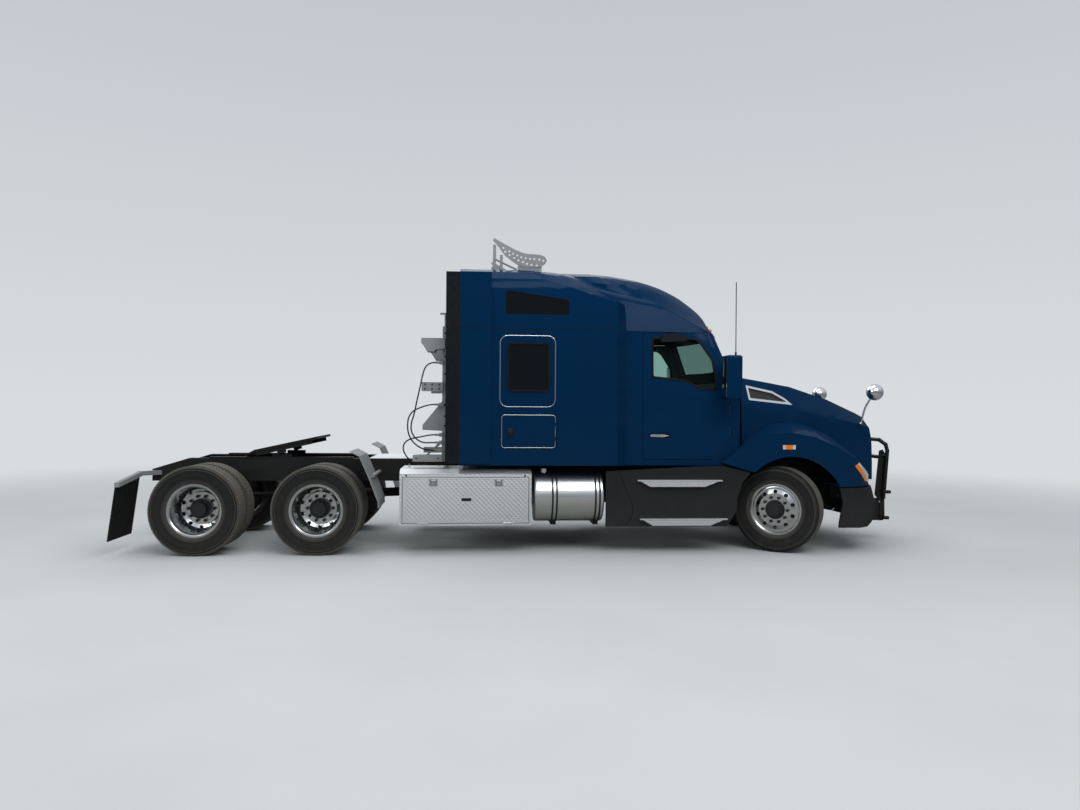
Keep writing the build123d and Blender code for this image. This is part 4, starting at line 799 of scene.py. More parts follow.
class TRACTOR_OT_smooth_panels(bpy.types.Operator):
    """Makes the pressed body panels one curved sheet, with creases only where a real panel has them"""

    bl_idname = "tractor.smooth_panels"
    bl_label = "Smooth panels"

    def execute(self, context):
        for node, body, paint, firmness, turns in SMOOTHED:
            bm = solid(node)
            bmesh.ops.remove_doubles(bm, verts=bm.verts[:], dist=1e-5)
            bmesh.ops.dissolve_limit(
                bm, angle_limit=radians(0.4), use_dissolve_boundaries=False, verts=bm.verts[:], edges=bm.edges[:]
            )
            bmesh.ops.triangulate(bm, faces=bm.faces[:])
            for _ in range(CUTTING_TURNS):
                long = [e for e in bm.edges if e.calc_length() > LONGEST_EDGE]
                if not long:
                    break
                bmesh.ops.subdivide_edges(bm, edges=long, cuts=1, use_grid_fill=True)
                bmesh.ops.triangulate(bm, faces=bm.faces[:])
            firm = {v for e in bm.edges if e.calc_face_angle(pi) > radians(firmness) for v in e.verts}
            loose = [v for v in bm.verts if v not in firm]
            for _ in range(turns):
                bmesh.ops.smooth_vert(bm, verts=loose, factor=0.5, use_axis_x=True, use_axis_y=True, use_axis_z=True)
            made = piece(f"{node}_panels", bm, paint, body, [node], firmness, 0)
            made.modifiers.new("weighted", "WEIGHTED_NORMAL").keep_sharp = True
        return {"FINISHED"}


# Tyres: half sections as (radius, half width), from the bead out and up the sidewall
BEAD = [
    (0.282, 0.1047), (0.2983, 0.1047), (0.2983, 0.119), (0.312, 0.1325), (0.334, 0.1395), (0.341, 0.1425),
    (0.347, 0.1405),
]
WALL = [
    (0.372, 0.1440), (0.396, 0.1450), (0.425, 0.1435), (0.446, 0.1400), (0.452, 0.1420), (0.458, 0.1385),
    (0.471, 0.1305),
]


def tyre_ring(tread):
    """A whole tyre section from its half tread, turned into a ring."""
    half = BEAD + WALL + tread
    return half + [(r, -y) for r, y in reversed(half)] + half[:1]


def reach(point):
    """How far a point lies from the Y axis."""
    return Vector((point.x, point.z)).length


def steer_tyre(sizes):
    """Ribbed front tyre: four grooves round it and notched shoulders."""
    tread = [(0.486, 0.1215), (0.496, 0.1170), (0.4985, 0.1080)]
    low = TYRE_R - sizes.depth
    for y in (0.082, 0.028):
        g = sizes.groove / 2
        tread += [(TYRE_R, y + g), (low, y + g - 0.002), (low, y - g + 0.002), (TYRE_R, y - g)]
    bm = spun(tyre_ring(tread), 120)
    middles = [(f, f.calc_center_median()) for f in bm.faces]
    shoulder = [f for f, middle in middles if 0.484 < reach(middle) < 0.495 and abs(middle.y) > 0.115]
    bmesh.ops.inset_individual(bm, faces=shoulder, thickness=0.0025, depth=-0.003)
    return bm


def drive_tyre(sizes):
    """Block-tread rear tyre: staggered columns of blocks and lugged shoulders."""
    low = TYRE_R - sizes.depth
    bm = spun(tyre_ring([(0.478, 0.1270), (low, 0.1180), (low, 0.0720), (low, 0.0240)]), sizes.blocks)
    step = 2 * pi / sizes.blocks
    for vert in bm.verts:
        if reach(vert.co) > low - 0.001 and abs(vert.co.y) < 0.1:
            turn = (0.5 if abs(vert.co.y) < 0.05 else -0.25) * step * (1 if vert.co.y > 0 else -1)
            vert.co.rotate(Matrix.Rotation(turn, 3, "Y"))
    blocks, lugs = [], []
    for face in bm.faces:
        middle = face.calc_center_median()
        if reach(middle) > low - 0.0015 and abs(middle.y) < 0.118:
            blocks.append(face)
        elif 0.473 < reach(middle) < 0.49:
            lugs.append(face)
    bmesh.ops.inset_individual(bm, faces=blocks, thickness=0.0042, depth=sizes.depth - 0.001)
    bmesh.ops.inset_individual(bm, faces=lugs, thickness=0.004, depth=0.004)
    return bm


class TRACTOR_OT_tyres(bpy.types.Operator):
    """Makes the tyres with their tread, in place of the plain ones"""

    bl_idname = "tractor.tyres"
    bl_label = "Tyres"

    def execute(self, context):
        sizes = context.scene.tractor_tread
        turned = Matrix.Rotation(-STEER, 4, "Z")
        for side, k in SIDES:
            bm = placed(steer_tyre(sizes), steer_centre(k), turned)
            body, plain = f"steer_wheel_{side}", f"steer_tyre_{side}"
            piece(f"ribbed_tyre_{side}", bm, "tyre_rubber", body, [plain])
            for place, x in DRIVE_X.items():
                bm = joined([placed(drive_tyre(sizes), (x, k * y, TYRE_R)) for y in DUAL_YS])
                body, plain = f"drive_wheel_{place}_{side}", f"drive_tyres_{place}_{side}"
                piece(f"block_tyres_{place}_{side}", bm, "tyre_rubber", body, [plain])
        return {"FINISHED"}


# Sections of the drums and of the front hubs' rings, as (radius, outwards)
STEER_DRUM = [
    (0.112, 0.100), (0.205, 0.100), (0.214, 0.092), (0.214, 0.0), (0.222, -0.01), (0.222, -0.03),
    (0.198, -0.03), (0.198, 0.085), (0.112, 0.085), (0.112, 0.100),
]
DRIVE_DRUM = [
    (0.112, -0.052), (0.205, -0.052), (0.214, -0.06), (0.214, -0.235), (0.222, -0.24), (0.222, -0.26),
    (0.198, -0.26), (0.198, -0.07), (0.112, -0.07), (0.112, -0.052),
]
HUB_RING = [
    (0.070, 0.1595), (0.070, 0.163), (0.066, 0.165), (0.056, 0.165), (0.052, 0.163), (0.052, 0.1595),
    (0.070, 0.1595),
]


class TRACTOR_OT_wheel_fittings(bpy.types.Operator):
    """Adds the brake drums and the front hubs' rings"""

    bl_idname = "tractor.wheel_fittings"
    bl_label = "Wheel fittings"

    def execute(self, context):
        turned = Matrix.Rotation(-STEER, 4, "Z")
        for side, k in SIDES:
            for name, section, steps, kind, slot in (
                ("brake_drum", STEER_DRUM, 48, "chassis_casting", "cast_iron"),
                ("hub_ring", HUB_RING, 40, "grey_primer_steel", "bracket_paint"),
            ):
                bm = placed(spun([(r, k * y) for r, y in section], steps), steer_centre(k), turned)
                piece(f"{name}_{side}", bm, kind, f"steer_wheel_{side}")
            for place, x in DRIVE_X.items():
                bm = placed(spun([(r, k * y) for r, y in DRIVE_DRUM], 40), (x, k * DRIVE_Y, TYRE_R))
                body = f"drive_wheel_{place}_{side}"
                piece(f"brake_drum_{place}_{side}", bm, "chassis_casting", body)
        return {"FINISHED"}


# Windows and body trim, as side-view corners
DOOR_WINDOW = [
    (-1.647, 2.015), (-1.647, 2.500), (-1.105, 2.500), (-1.035, 2.450), (-0.893, 2.240), (-0.861, 2.000),
    (-0.861, 1.882), (-1.080, 1.887), (-1.235, 1.978),
]
SLEEPER_WINDOW = [(-3.323, 1.840), (-2.832, 1.840), (-2.832, 2.405), (-3.323, 2.405)]
WINDOW_PANEL = [(-3.403, 1.671), (-2.768, 1.671), (-2.768, 2.485), (-3.403, 2.485)]
LOCKER_DOOR = [(-3.381, 1.209), (-2.764, 1.209), (-2.764, 1.586), (-3.381, 1.586)]
HANDLE_POCKET = [(-1.660, 1.332), (-1.660, 1.371), (-1.440, 1.376), (-1.404, 1.352), (-1.440, 1.326)]
HANDLE_LEVER = [(-1.655, 1.339), (-1.655, 1.364), (-1.500, 1.366), (-1.425, 1.352), (-1.500, 1.336)]
# The seam's black strip is painted shade of the groove between the panels
SEAM_LOW, SEAM_HIGH = 2.5565, 2.5635  # heights of the seam between the side and the roof's panels


class TRACTOR_OT_window_seals(bpy.types.Operator):
    """Fits the black rubber seals round the windows"""

    bl_idname = "tractor.window_seals"
    bl_label = "Window seals"

    def execute(self, context):
        seal = onto_cab(pushed(hollow(outline(DOOR_WINDOW, 0.018), 0.030), 0.009, 0.004), -0.006)
        pair("door_window_seal", seal, "extruded_rubber", "door_{}")
        seal = pushed(hollow(outline(SLEEPER_WINDOW, 0.05), 0.026), -0.016, 0.004)
        placed(seal, (0, 0.010 - SLEEPER_SKIN, 0))
        pair("sleeper_window_seal", seal, "extruded_rubber", "chassis")
        return {"FINISHED"}


class TRACTOR_OT_outline_beads(bpy.types.Operator):
    """Lays the bright beads round the window panel and locker door, and a black strip above them as painted shade of
    the seam
    """

    bl_idname = "tractor.outline_beads"
    bl_label = "Beads and seams"

    def execute(self, context):
        # A black strip along the seam between the side and the roof's panels: painted shade of the seam's groove
        seams = [
            slab((rear, -y - 0.0012, SEAM_LOW), (front, -y + 0.0012, SEAM_HIGH), 0.0008)
            for rear, front, y in ((-3.850, -3.502, EXTENDER_SKIN), (-3.498, -2.060, SLEEPER_SKIN))
        ]
        pair("seam_painted_shade", joined(seams), "extruded_rubber", "chassis")
        for name, corners, radius, body in (
            ("panel_bead", WINDOW_PANEL, 0.09, "chassis"),
            ("locker_bead", LOCKER_DOOR, 0.037, "locker_door_{}"),
        ):
            bead = pushed(hollow(outline(corners, radius), 0.008), -0.004, 0.0015)
            pair(name, placed(bead, (0, 0.001 - SLEEPER_SKIN, 0)), "chrome_plate", body)
        return {"FINISHED"}


class TRACTOR_OT_handles(bpy.types.Operator):
    """Fits the door handles and the locker latches"""

    bl_idname = "tractor.handles"
    bl_label = "Handles"

    def execute(self, context):
        cup = onto_cab(pushed(outline(HANDLE_POCKET, 0.006), 0.004), -0.0215)
        pair("handle_pocket", cup, "extruded_rubber", "door_{}")
        lever = onto_cab(pushed(outline(HANDLE_LEVER, 0.008), 0.016, 0.006, 3), -0.012)
        pair("door_handle", lever, "chrome_plate", "door_{}")
        latch = [
            slab((-3.312, -1.228, 1.335), (-3.252, -1.2195, 1.435)),
            slab((-3.302, -1.236, 1.345), (-3.262, -1.226, 1.405), 0.005),
            bolt((-3.282, -1.227, 1.420), (0, -1, 0), 0.007, 0.004, 12),
        ]
        pair("locker_latch", joined(latch), "black_powder_coat", "locker_door_{}")
        return {"FINISHED"}


# Cab inside


def pad(low, high, seams=(), depth=0.007, pull=0.035, power=6.0, cuts=20):
    """A crowned cushion between two corners: full in its middle, its sides drawn in between its
    corners, with sewn channels across its width at shares of its half width."""
    bm = bmesh.new()
    bmesh.ops.create_cube(bm, size=2.0)
    bmesh.ops.subdivide_edges(bm, edges=bm.edges[:], cuts=cuts, use_grid_fill=True)
    half = [(b - a) / 2 for a, b in zip(low, high)]
    middle = Vector([(a + b) / 2 for a, b in zip(low, high)])
    thin = half.index(min(half))
    wide = [i for i in range(3) if i != thin]
    for vert in bm.verts:
        unit = vert.co / sum(abs(c) ** power for c in vert.co) ** (1 / power)
        new = unit.copy()
        for a, b in (wide, wide[::-1]):
            new[a] = unit[a] * (1 - pull * (1 - unit[b] ** 2))
        crown = 1 - 0.22 * (unit[wide[0]] ** 4 + unit[wide[1]] ** 4) / 2
        new[thin] = unit[thin] * crown
        if abs(unit[thin]) > 0.5:
            for seam in seams:
                sunk = depth / half[thin] * exp(-(((unit.y - seam) / 0.05) ** 2))
                new[thin] -= sunk if unit[thin] > 0 else -sunk
        vert.co = middle + Vector([new[i] * half[i] for i in range(3)])
    return bm


# Pads of a seat: X from and to, half width, Z from and to, seams, squareness, cuts
SEAT_PADS = {
    "cushion": (-1.70, -1.20, 0.25, 1.450, 1.600, (-0.62, 0.62), 6.0, 20),
    "back": (-1.758, -1.632, 0.24, 1.603, 2.185, (-0.6, 0.6), 5.0, 20),
    "headrest": (-1.745, -1.657, 0.13, 2.205, 2.398, (), 6.0, 14),
}
FOLDS = [0.0, 0.018, 0.0, 0.018, 0.0, 0.018, 0.0]  # how far each fold of a seat's bellows is drawn in
FOLD_RISE = 0.048
BUNK_SEAMS = [i / 4 for i in range(-3, 4)]


class TRACTOR_OT_seats(bpy.types.Operator):
    """Fits the two seats on their bellows and the bunk's mattress"""

    bl_idname = "tractor.seats"
    bl_label = "Seats and bunk"

    def execute(self, context):
        for side, k in SIDES:
            y = k * SEAT_Y
            base = []
            for i, d in enumerate(FOLDS):
                z = 1.112 + FOLD_RISE * i
                base.append(slab((-1.60 + d, y - 0.15 + d, z), (-1.30 - d, y + 0.15 - d, z + 0.050), 0.012))
            base.append(slab((-1.66, y - 0.20, 1.430), (-1.24, y + 0.20, 1.449), 0.006))
            base += [bar((-1.70, y + d, 2.165), (-1.70, y + d, 2.225), 0.006) for d in (-0.055, 0.055)]
            piece(f"seat_base_{side}", joined(base), "cab_trim", "chassis")
            for name, (rear, front, wide, low, high, seams, power, cuts) in SEAT_PADS.items():
                bm = pad((rear, y - wide, low), (front, y + wide, high), seams, power=power, cuts=cuts)
                made = piece(
                    f"seat_{name}_{side}", bm, "woven_seat_cloth", "chassis", ["cab_interior"], 60
                )
        bunk = pad((-3.803, -1.160, 1.622), (-2.902, 1.160, 1.719), BUNK_SEAMS, 0.005, 0.01, 9.0, 36)
        made = piece("bunk_mattress", bunk, "quilted_ticking", "chassis", ["cab_interior"], 60)
        return {"FINISHED"}


DASH = [
    (-0.720, 1.612), (-0.930, 1.625), (-0.957, 1.700), (-0.952, 1.850), (-0.915, 1.930), (-0.850, 1.968),
    (-0.720, 1.985),
]
COWL = [(-0.985, 1.800), (-0.940, 1.800), (-0.900, 1.960), (-0.945, 1.985), (-1.000, 1.972)]
VENT_YS = (-0.86, -0.30, 0.20, 0.88)
DIALS = ((0.43, 1.885, 0.052), (0.61, 1.885, 0.052), (0.52, 1.905, 0.026), (0.52, 1.845, 0.026))  # Y, Z, radius
COLUMN = Vector((-0.955, SEAT_Y, 1.757)), Vector((-1.060, SEAT_Y, 1.830))
WHEEL_HUB = [(0, 0.016), (0.040, 0.014), (0.052, 0.006), (0.052, -0.012), (0.030, -0.020), (0, -0.020)]
DOOR_CARD = [(-1.690, 1.140), (-1.690, 1.940), (-1.235, 1.930), (-1.080, 1.840), (-0.980, 1.835), (-0.980, 1.140)]


class TRACTOR_OT_dash(bpy.types.Operator):
    """Fits the dash with its dials, the steering wheel and the door cards"""

    bl_idname = "tractor.dash"
    bl_label = "Dash and door cards"

    def execute(self, context):
        shelf = placed(pushed(outline(DASH, 0.015), -2.06, 0.012), (0, 1.03, 0))
        cowl = placed(pushed(outline(COWL, 0.008), -0.44, 0.012), (0, 0.74, 0))
        vents = [slab((-0.966, y - 0.05, 1.79), (-0.950, y + 0.05, 1.85), 0.006) for y in VENT_YS]
        bm = joined([shelf, cowl] + vents)
        piece("dash_shelf", bm, "cab_trim", "chassis", ["cab_interior"])
        dials = [slab((-0.963, -0.14, 1.755), (-0.950, 0.14, 1.905), 0.006)]
        for y, z, r in DIALS:
            glass = [(0, 0.004), (r - 0.004, 0.004), (r - 0.003, 0.008), (r, 0.008), (r + 0.002, 0.0), (0, 0.0)]
            dials.append(placed(spun(glass, 32), (-0.989, y, z), facing((-1, 0, 0.12))))
        piece("dash_dials", joined(dials), "dial_face", "chassis")
        low, high = COLUMN
        ring = [(0.21 + 0.015 * cos(i * pi / 6), 0.015 * sin(i * pi / 6)) for i in range(13)]
        spokes = [
            slab((-0.20, -0.008, -0.018), (0.20, 0.006, 0.018), 0.005),
            slab((-0.016, -0.008, -0.20), (0.016, 0.006, 0.0), 0.005),
        ]
        wheel = placed(joined([spun(ring, 48), spun(WHEEL_HUB, 32)] + spokes), high, facing(high - low))
        bm = joined([wheel, bar(low, high, 0.022, 20)])
        piece("steering_wheel", bm, "grained_plastic", "chassis")
        panel = placed(pushed(outline(DOOR_CARD, 0.02), -0.012, 0.005), (0, -1.054, 0))
        rest = slab((-1.62, -1.060, 1.520), (-1.12, -1.000, 1.560), 0.014, 3)
        pull = slab((-1.30, -1.060, 1.640), (-1.18, -1.040, 1.665), 0.006)
        pair("door_card", joined([panel, rest, pull]), "cab_trim", "door_{}")
        return {"FINISHED"}


# Windshield, lamps and mirrors


def rim_of(name, way, width, height):
    """A band along the rim of a CAD node's faces that look one way, standing a height off them."""
    bm = solid(name)
    way = Vector(way)
    bmesh.ops.delete(bm, geom=[f for f in bm.faces if f.normal.dot(way) < 0.3], context="FACES")
    bmesh.ops.remove_doubles(bm, verts=bm.verts[:], dist=1e-4)
    inner = set(bm.faces)
    bmesh.ops.inset_region(bm, faces=bm.faces[:], thickness=width, use_boundary=True, use_even_offset=True)
    bmesh.ops.delete(bm, geom=[f for f in bm.faces if f in inner], context="FACES")
    bm.normal_update()
    top = bmesh.ops.extrude_face_region(bm, geom=bm.faces[:])["geom"]
    verts = [g for g in top if isinstance(g, bmesh.types.BMVert)]
    bmesh.ops.translate(bm, verts=verts, vec=way * height)
    return bm


BLADE = ((0.46, 2.125), (0.30, 2.135), (0.16, 2.14))  # Y and Z along a wiper, from its outer end


class TRACTOR_OT_windshield_trim(bpy.types.Operator):
    """Fits the windshield's rubber and the wipers"""

    bl_idname = "tractor.windshield_trim"
    bl_label = "Windshield rubber and wipers"

    def execute(self, context):
        band = rim_of("windshield", (0.85, 0, 0.52), 0.030, 0.005)
        piece("windshield_rubber", band, "extruded_rubber", "chassis", shift=0)
        glass = skin("windshield")
        for side, k in SIDES:
            hits = [glass.ray_cast(Vector((1 + AXLE, k * y, z)), Vector((-1, 0, 0)))[0] for y, z in BLADE]
            if not all(hits):
                continue
            points = [hit + Vector((0.016, 0, 0.010)) for hit in hits]
            tube(f"wiper_blade_{side}", points, 0.006, "extruded_rubber", "chassis")
            root, clip = points[-1] + Vector((0, 0, -0.060)), points[1]
            arm = [root, root + Vector((0.014, k * 0.10, 0.012)), clip + Vector((0.016, 0, 0.006))]
            arm.append(clip + Vector((0.006, 0, 0)))
            tube(f"wiper_arm_{side}", arm, 0.007, "black_powder_coat", "chassis")
        return {"FINISHED"}


MARKER_YS = (-0.62, -0.17, 0.0, 0.17, 0.62)
TAIL_YS = (-0.34, -0.22, 0.22, 0.34)
TAIL_FACE, TAIL_LAMP_Z = -7.191, 0.895  # 1 mm off the rear face of the frame's last crossmember
# Sections of the lamps and their seats, as (radius, outwards)
MARKER_DOME = [(0, 0.030), (0.012, 0.028), (0.022, 0.020), (0.028, 0.008), (0.028, 0.0), (0, 0.0)]
MARKER_SEAT = [(0, 0.006), (0.033, 0.006), (0.036, 0.003), (0.036, -0.004), (0, -0.004)]
TAIL_LENS = [(0, 0.012), (0.030, 0.010), (0.046, 0.004), (0.048, 0.0), (0, 0.0)]
TAIL_GROMMET = [(0.047, 0.0), (0.047, 0.006), (0.058, 0.005), (0.060, 0.0), (0.047, 0.0)]


class TRACTOR_OT_lamps(bpy.types.Operator):
    """Fits the marker lamps on the brow and the lamps at the tail"""

    bl_idname = "tractor.lamps"
    bl_label = "Small lamps"

    def execute(self, context):
        roof = skin("roof_cap")
        seats = []
        for y in MARKER_YS:
            start = Vector((0.335 + AXLE, y, 3.780))
            hit, normal = roof.ray_cast(start, Vector((-1, 0, -1)).normalized())[:2]
            if hit:
                seats.append((hit + normal * 0.001, facing(normal)))
        tails = [((TAIL_FACE, y, TAIL_LAMP_Z), facing((-1, 0, 0))) for y in TAIL_YS]
        for name, section, steps, places, kind, slot, shift in (
            ("roof_marker_lenses", MARKER_DOME, 24, seats, "amber_lens", "lamp_lens", 0),
            ("roof_marker_seats", MARKER_SEAT, 24, seats, "extruded_rubber", "edge_rubber", 0),
            ("tail_lamp_lenses", TAIL_LENS, 32, tails, "red_lens", "lamp_lens", AXLE),
            ("tail_lamp_grommets", TAIL_GROMMET, 32, tails, "extruded_rubber", "edge_rubber", AXLE),
        ):
            bm = joined([placed(spun(section, steps), *place) for place in places])
            piece(name, bm, kind, "chassis", shift=shift)
        return {"FINISHED"}


class TRACTOR_OT_mirrors(bpy.types.Operator):
    """Sets the flat and wide-angle glasses into the door mirrors"""

    bl_idname = "tractor.mirrors"
    bl_label = "Mirror glasses"

    def execute(self, context):
        flat = slab((-0.8645, -1.464, 1.965), (-0.8555, -1.266, 2.246), 0.003)
        wide = slab((-0.8655, -1.464, 1.804), (-0.8555, -1.266, 1.952), 0.004, 3)
        pair("mirror_glass", joined([flat, wide]), "mirror_glass", "door_{}")
        return {"FINISHED"}


# Boxes, rack and running gear
LATCH_XS, STOP_XS = (-4.137, -3.405), (-4.440, -3.108)
FLAP_X, FLAP_Z = -7.575, 0.800  # where the flaps' bolts stand on their hangers
# Bolts of the rack, with each row's heights, X, half width, radius and height of the head
RACK_BOLTS = (
    ((1.875, 1.927), (-4.255, -4.175, -4.095), 0.9699, 0.010, 0.007),
    ((1.450, 1.560, 1.690, 2.050, 2.250, 2.520), (-4.030,), 0.9299, 0.011, 0.008),
    ((1.072,), (-4.350, -4.100), 0.9599, 0.010, 0.007),
)


class TRACTOR_OT_box_fittings(bpy.types.Operator):
    """Fits the tool boxes' plate, stops and latches and the flaps' bolts"""

    bl_idname = "tractor.box_fittings"
    bl_label = "Boxes and flaps"

    def execute(self, context):
        plate = slab((-3.823, -1.2245, 0.610), (-3.712, -BOX_SKIN, 0.644), 0.003)
        pair("blank_plate", plate, "black_powder_coat", "tool_box_door_{}")
        stops = [bolt((x, -BOX_SKIN, 0.895), (0, -1, 0), 0.011, 0.006, 16) for x in STOP_XS]
        pair("box_stops", joined(stops), "extruded_rubber", "chassis")
        plates, wells = [], []
        for x in LATCH_XS:
            plates.append(slab((x - 0.047, -1.2285, 0.780), (x + 0.047, -1.2262, 0.862), 0.001))
            wells.append(slab((x - 0.031, -1.2296, 0.787), (x + 0.031, -1.2270, 0.845), 0.001))
            plates.append(slab((x - 0.0247, -1.2380, 0.791), (x + 0.0247, -1.2355, 0.839), 0.001))
            wells.append(bolt((x, -1.2378, 0.828), (0, -1, 0), 0.006, 0.002, 12))
        pair("latch_plates", joined(plates), "chrome_plate", "tool_box_door_{}")
        pair("latch_wells", joined(wells), "extruded_rubber", "tool_box_door_{}")
        heads = [bolt((FLAP_X, -0.70 - 0.10 * i, FLAP_Z), (-1, 0, 0), 0.011, 0.008) for i in range(5)]
        pair("flap_bolts", joined(heads), "grey_primer_steel", "chassis")
        return {"FINISHED"}


class TRACTOR_OT_rack_fittings(bpy.types.Operator):
    """Fits the rack's bolts"""

    bl_idname = "tractor.rack_fittings"
    bl_label = "Rack bolts"

    def execute(self, context):
        bolts = [
            bolt((x, k * y, z), (0, k, 0), radius, height)
            for k in (-1, 1)
            for zs, xs, y, radius, height in RACK_BOLTS
            for x in xs
            for z in zs
        ]
        piece("rack_bolts", joined(bolts), "chassis_casting", "chassis")
        return {"FINISHED"}


# Sections of a brake chamber and an air tank, as (radius, along)
CHAMBER = [
    (0, 0), (0.055, 0), (0.078, 0.012), (0.082, 0.060), (0.090, 0.064), (0.090, 0.080), (0.082, 0.084),
    (0.080, 0.150), (0.062, 0.172), (0, 0.176),
]
AIR_TANK = [
    (0, 0), (0.060, 0.010), (0.105, 0.035), (0.120, 0.070), (0.120, 0.630), (0.105, 0.665), (0.060, 0.690),
    (0, 0.700),
]


class TRACTOR_OT_running_gear(bpy.types.Operator):
    """Fits the brake chambers and the air tanks under the frame"""

    bl_idname = "tractor.running_gear"
    bl_label = "Brake chambers and air tanks"

    def execute(self, context):
        chambers = []
        for x in DRIVE_X.values():
            for y in (-0.300, 0.300):
                start, end = (x - 0.230, y, 0.560), (x - 0.090, y, 0.520)
                chambers.append(placed(spun(CHAMBER, 32), start, facing((-0.94, 0, 0.34))))
                chambers.append(bar(start, end, 0.010))
        piece("brake_chambers", joined(chambers), "chassis_casting", "chassis")
        tanks = [placed(spun(AIR_TANK), (-3.050, y, 0.640), facing((-1, 0, 0))) for y in (-0.290, 0.290)]
        piece("air_tanks", joined(tanks), "chassis_enamel", "chassis")
        return {"FINISHED"}


# Stage: each light's place, aim, size and power
LIGHTS = {
    "key": ((2.5, -9.0, 8.5), (0, 0, 1.2), (9, 5), 520),
    "fill": ((-8.5, -6.5, 6.0), (-1, 0, 1.2), (6, 5), 180),
    "back": ((-1.0, 8.5, 8.0), (0, 0, 1.5), (10, 5), 300),
    "top": ((0.0, 0.0, 9.5), (0, 0, 0), (10, 4), 220),
}
BACKDROP, BACKDROP_LEVEL = "#DDE1E4", 0.95
FLOOR_R = 60


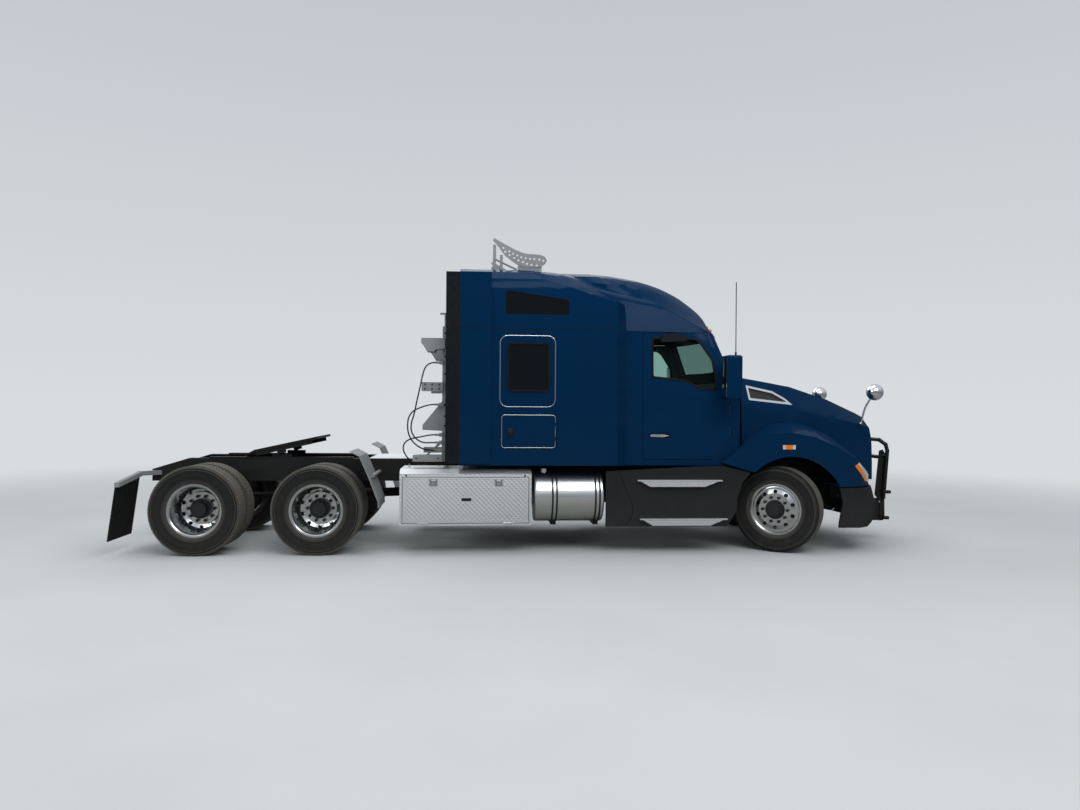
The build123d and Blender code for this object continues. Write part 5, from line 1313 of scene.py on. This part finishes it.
class TRACTOR_OT_stage(bpy.types.Operator):
    """Lays the pale floor and sets the soft studio lights"""

    bl_idname = "tractor.stage"
    bl_label = "Stage"

    def execute(self, context):
        scene = context.scene
        scene.view_settings.view_transform = "Standard"
        bm = bmesh.new()
        bmesh.ops.create_circle(bm, cap_ends=True, segments=96, radius=FLOOR_R)
        mesh = bpy.data.meshes.new("studio_floor")
        bm.to_mesh(mesh)
        bm.free()
        # Matt pale floor: near the truck it takes its shadow, and far off it glows like the backdrop,
        # so that no horizon shows. Mirror rays see it darker, as they see open ground outdoors
        mat, tree, shader = surface("pale_studio_floor", "#C4C5C4", Roughness=0.9, Specular_IOR_Level=0.1)
        place = add(tree, "TexCoord", out="Object")
        cloud = add(tree, "TexNoise", {"Vector": place, "Scale": 0.6, "Detail": 3.0})
        tone = add(tree, "Mix", {0: cloud, 6: linear("#BEBFBE"), 7: linear("#CACBCA")}, 2, data_type="RGBA")
        glossy = add(tree, "LightPath", out="Is Glossy Ray")
        tone = add(tree, "Mix", {0: glossy, 6: tone, 7: linear("#8C8B86")}, 2, data_type="RGBA")
        tree.links.new(tone, shader.inputs["Base Color"])
        far = add(tree, "VectorMath", (place,), 1, operation="LENGTH")
        fade = add(tree, "MapRange", (far, 5.5, 17.0, 0.0, 1.0), interpolation_type="SMOOTHSTEP")
        glow = add(tree, "Emission", (linear(BACKDROP), BACKDROP_LEVEL))
        share = add(tree, "Math", (fade, add(tree, "LightPath", out="Is Camera Ray")), operation="MULTIPLY")
        mixed = add(tree, "MixShader", (share, shader.outputs[0], glow))
        tree.links.new(mixed, tree.nodes["Material Output"].inputs[0])
        mesh.materials.append(mat)
        floor = bpy.data.objects.new("studio_floor", mesh)
        scene.collection.objects.link(floor)
        # An overcast sky: bright overhead and dark at the horizon for light and mirror rays, while the
        # camera sees an even pale backdrop
        scene.world = bpy.data.worlds.new("studio")
        scene.world.use_nodes = True
        tree = scene.world.node_tree
        back = tree.nodes["Background"]
        seen = add(tree, "LightPath", out="Is Camera Ray")
        rise = add(tree, "SeparateXYZ", (add(tree, "TexCoord", out="Generated"),), 2)
        high = add(tree, "MapRange", (rise, 0.0, 0.5, 0.0, 1.0))
        pale = add(tree, "Mix", {0: high, 6: linear(BACKDROP), 7: linear("#C3CAD0")}, 2, data_type="RGBA")
        sky = add(tree, "Mix", {0: seen, 6: linear("#D6DEE6"), 7: pale}, 2, data_type="RGBA")
        tree.links.new(sky, back.inputs["Color"])
        overhead = add(tree, "MapRange", (rise, 0.0, 0.7, 0.34, 0.9), interpolation_type="SMOOTHSTEP")
        level = add(tree, "Mix", {0: seen, 2: overhead, 3: BACKDROP_LEVEL}, data_type="FLOAT")
        tree.links.new(level, back.inputs["Strength"])
        for name, (place, aim, size, power) in LIGHTS.items():
            data = bpy.data.lights.new(name, "AREA")
            data.shape = "RECTANGLE"
            data.size, data.size_y = size
            data.energy = power
            data.specular_factor = 0.45
            lamp = bpy.data.objects.new(name, data)
            lamp.location = place
            lamp.rotation_euler = (Vector(aim) - Vector(place)).to_track_quat("-Z", "Y").to_euler()
            scene.collection.objects.link(lamp)
        return {"FINISHED"}


OPERATORS = (
    TRACTOR_OT_camera, TRACTOR_OT_air_hoses, TRACTOR_OT_finishes, TRACTOR_OT_smooth_panels, TRACTOR_OT_tyres,
    TRACTOR_OT_wheel_fittings, TRACTOR_OT_window_seals, TRACTOR_OT_outline_beads, TRACTOR_OT_handles,
    TRACTOR_OT_seats, TRACTOR_OT_dash, TRACTOR_OT_windshield_trim, TRACTOR_OT_lamps, TRACTOR_OT_mirrors,
    TRACTOR_OT_box_fittings, TRACTOR_OT_rack_fittings, TRACTOR_OT_running_gear, TRACTOR_OT_stage,
)


class TRACTOR_PT_panel(bpy.types.Panel):
    """Lists the truck's groups of pieces"""

    bl_idname = "TRACTOR_PT_panel"
    bl_label = "Sleeper tractor"
    bl_space_type = "VIEW_3D"
    bl_region_type = "UI"
    bl_category = "Tractor"

    def draw(self, context):
        for group in (context.scene.tractor_tread, context.scene.tractor_paint):
            for name in type(group).__annotations__:
                self.layout.prop(group, name)
        for operator in OPERATORS:
            self.layout.operator(operator.bl_idname)


CLASSES = (TreadSizes, PaintColours, *OPERATORS, TRACTOR_PT_panel)


def register():
    for made in CLASSES:
        bpy.utils.register_class(made)
    bpy.types.Scene.tractor_tread = PointerProperty(type=TreadSizes)
    bpy.types.Scene.tractor_paint = PointerProperty(type=PaintColours)


def unregister():
    del bpy.types.Scene.tractor_tread
    del bpy.types.Scene.tractor_paint
    for made in reversed(CLASSES):
        bpy.utils.unregister_class(made)


def main():
    register()
    for operator in OPERATORS:
        group, name = operator.bl_idname.split(".")
        getattr(getattr(bpy.ops, group), name)()


if __name__ == "__main__":
    main()
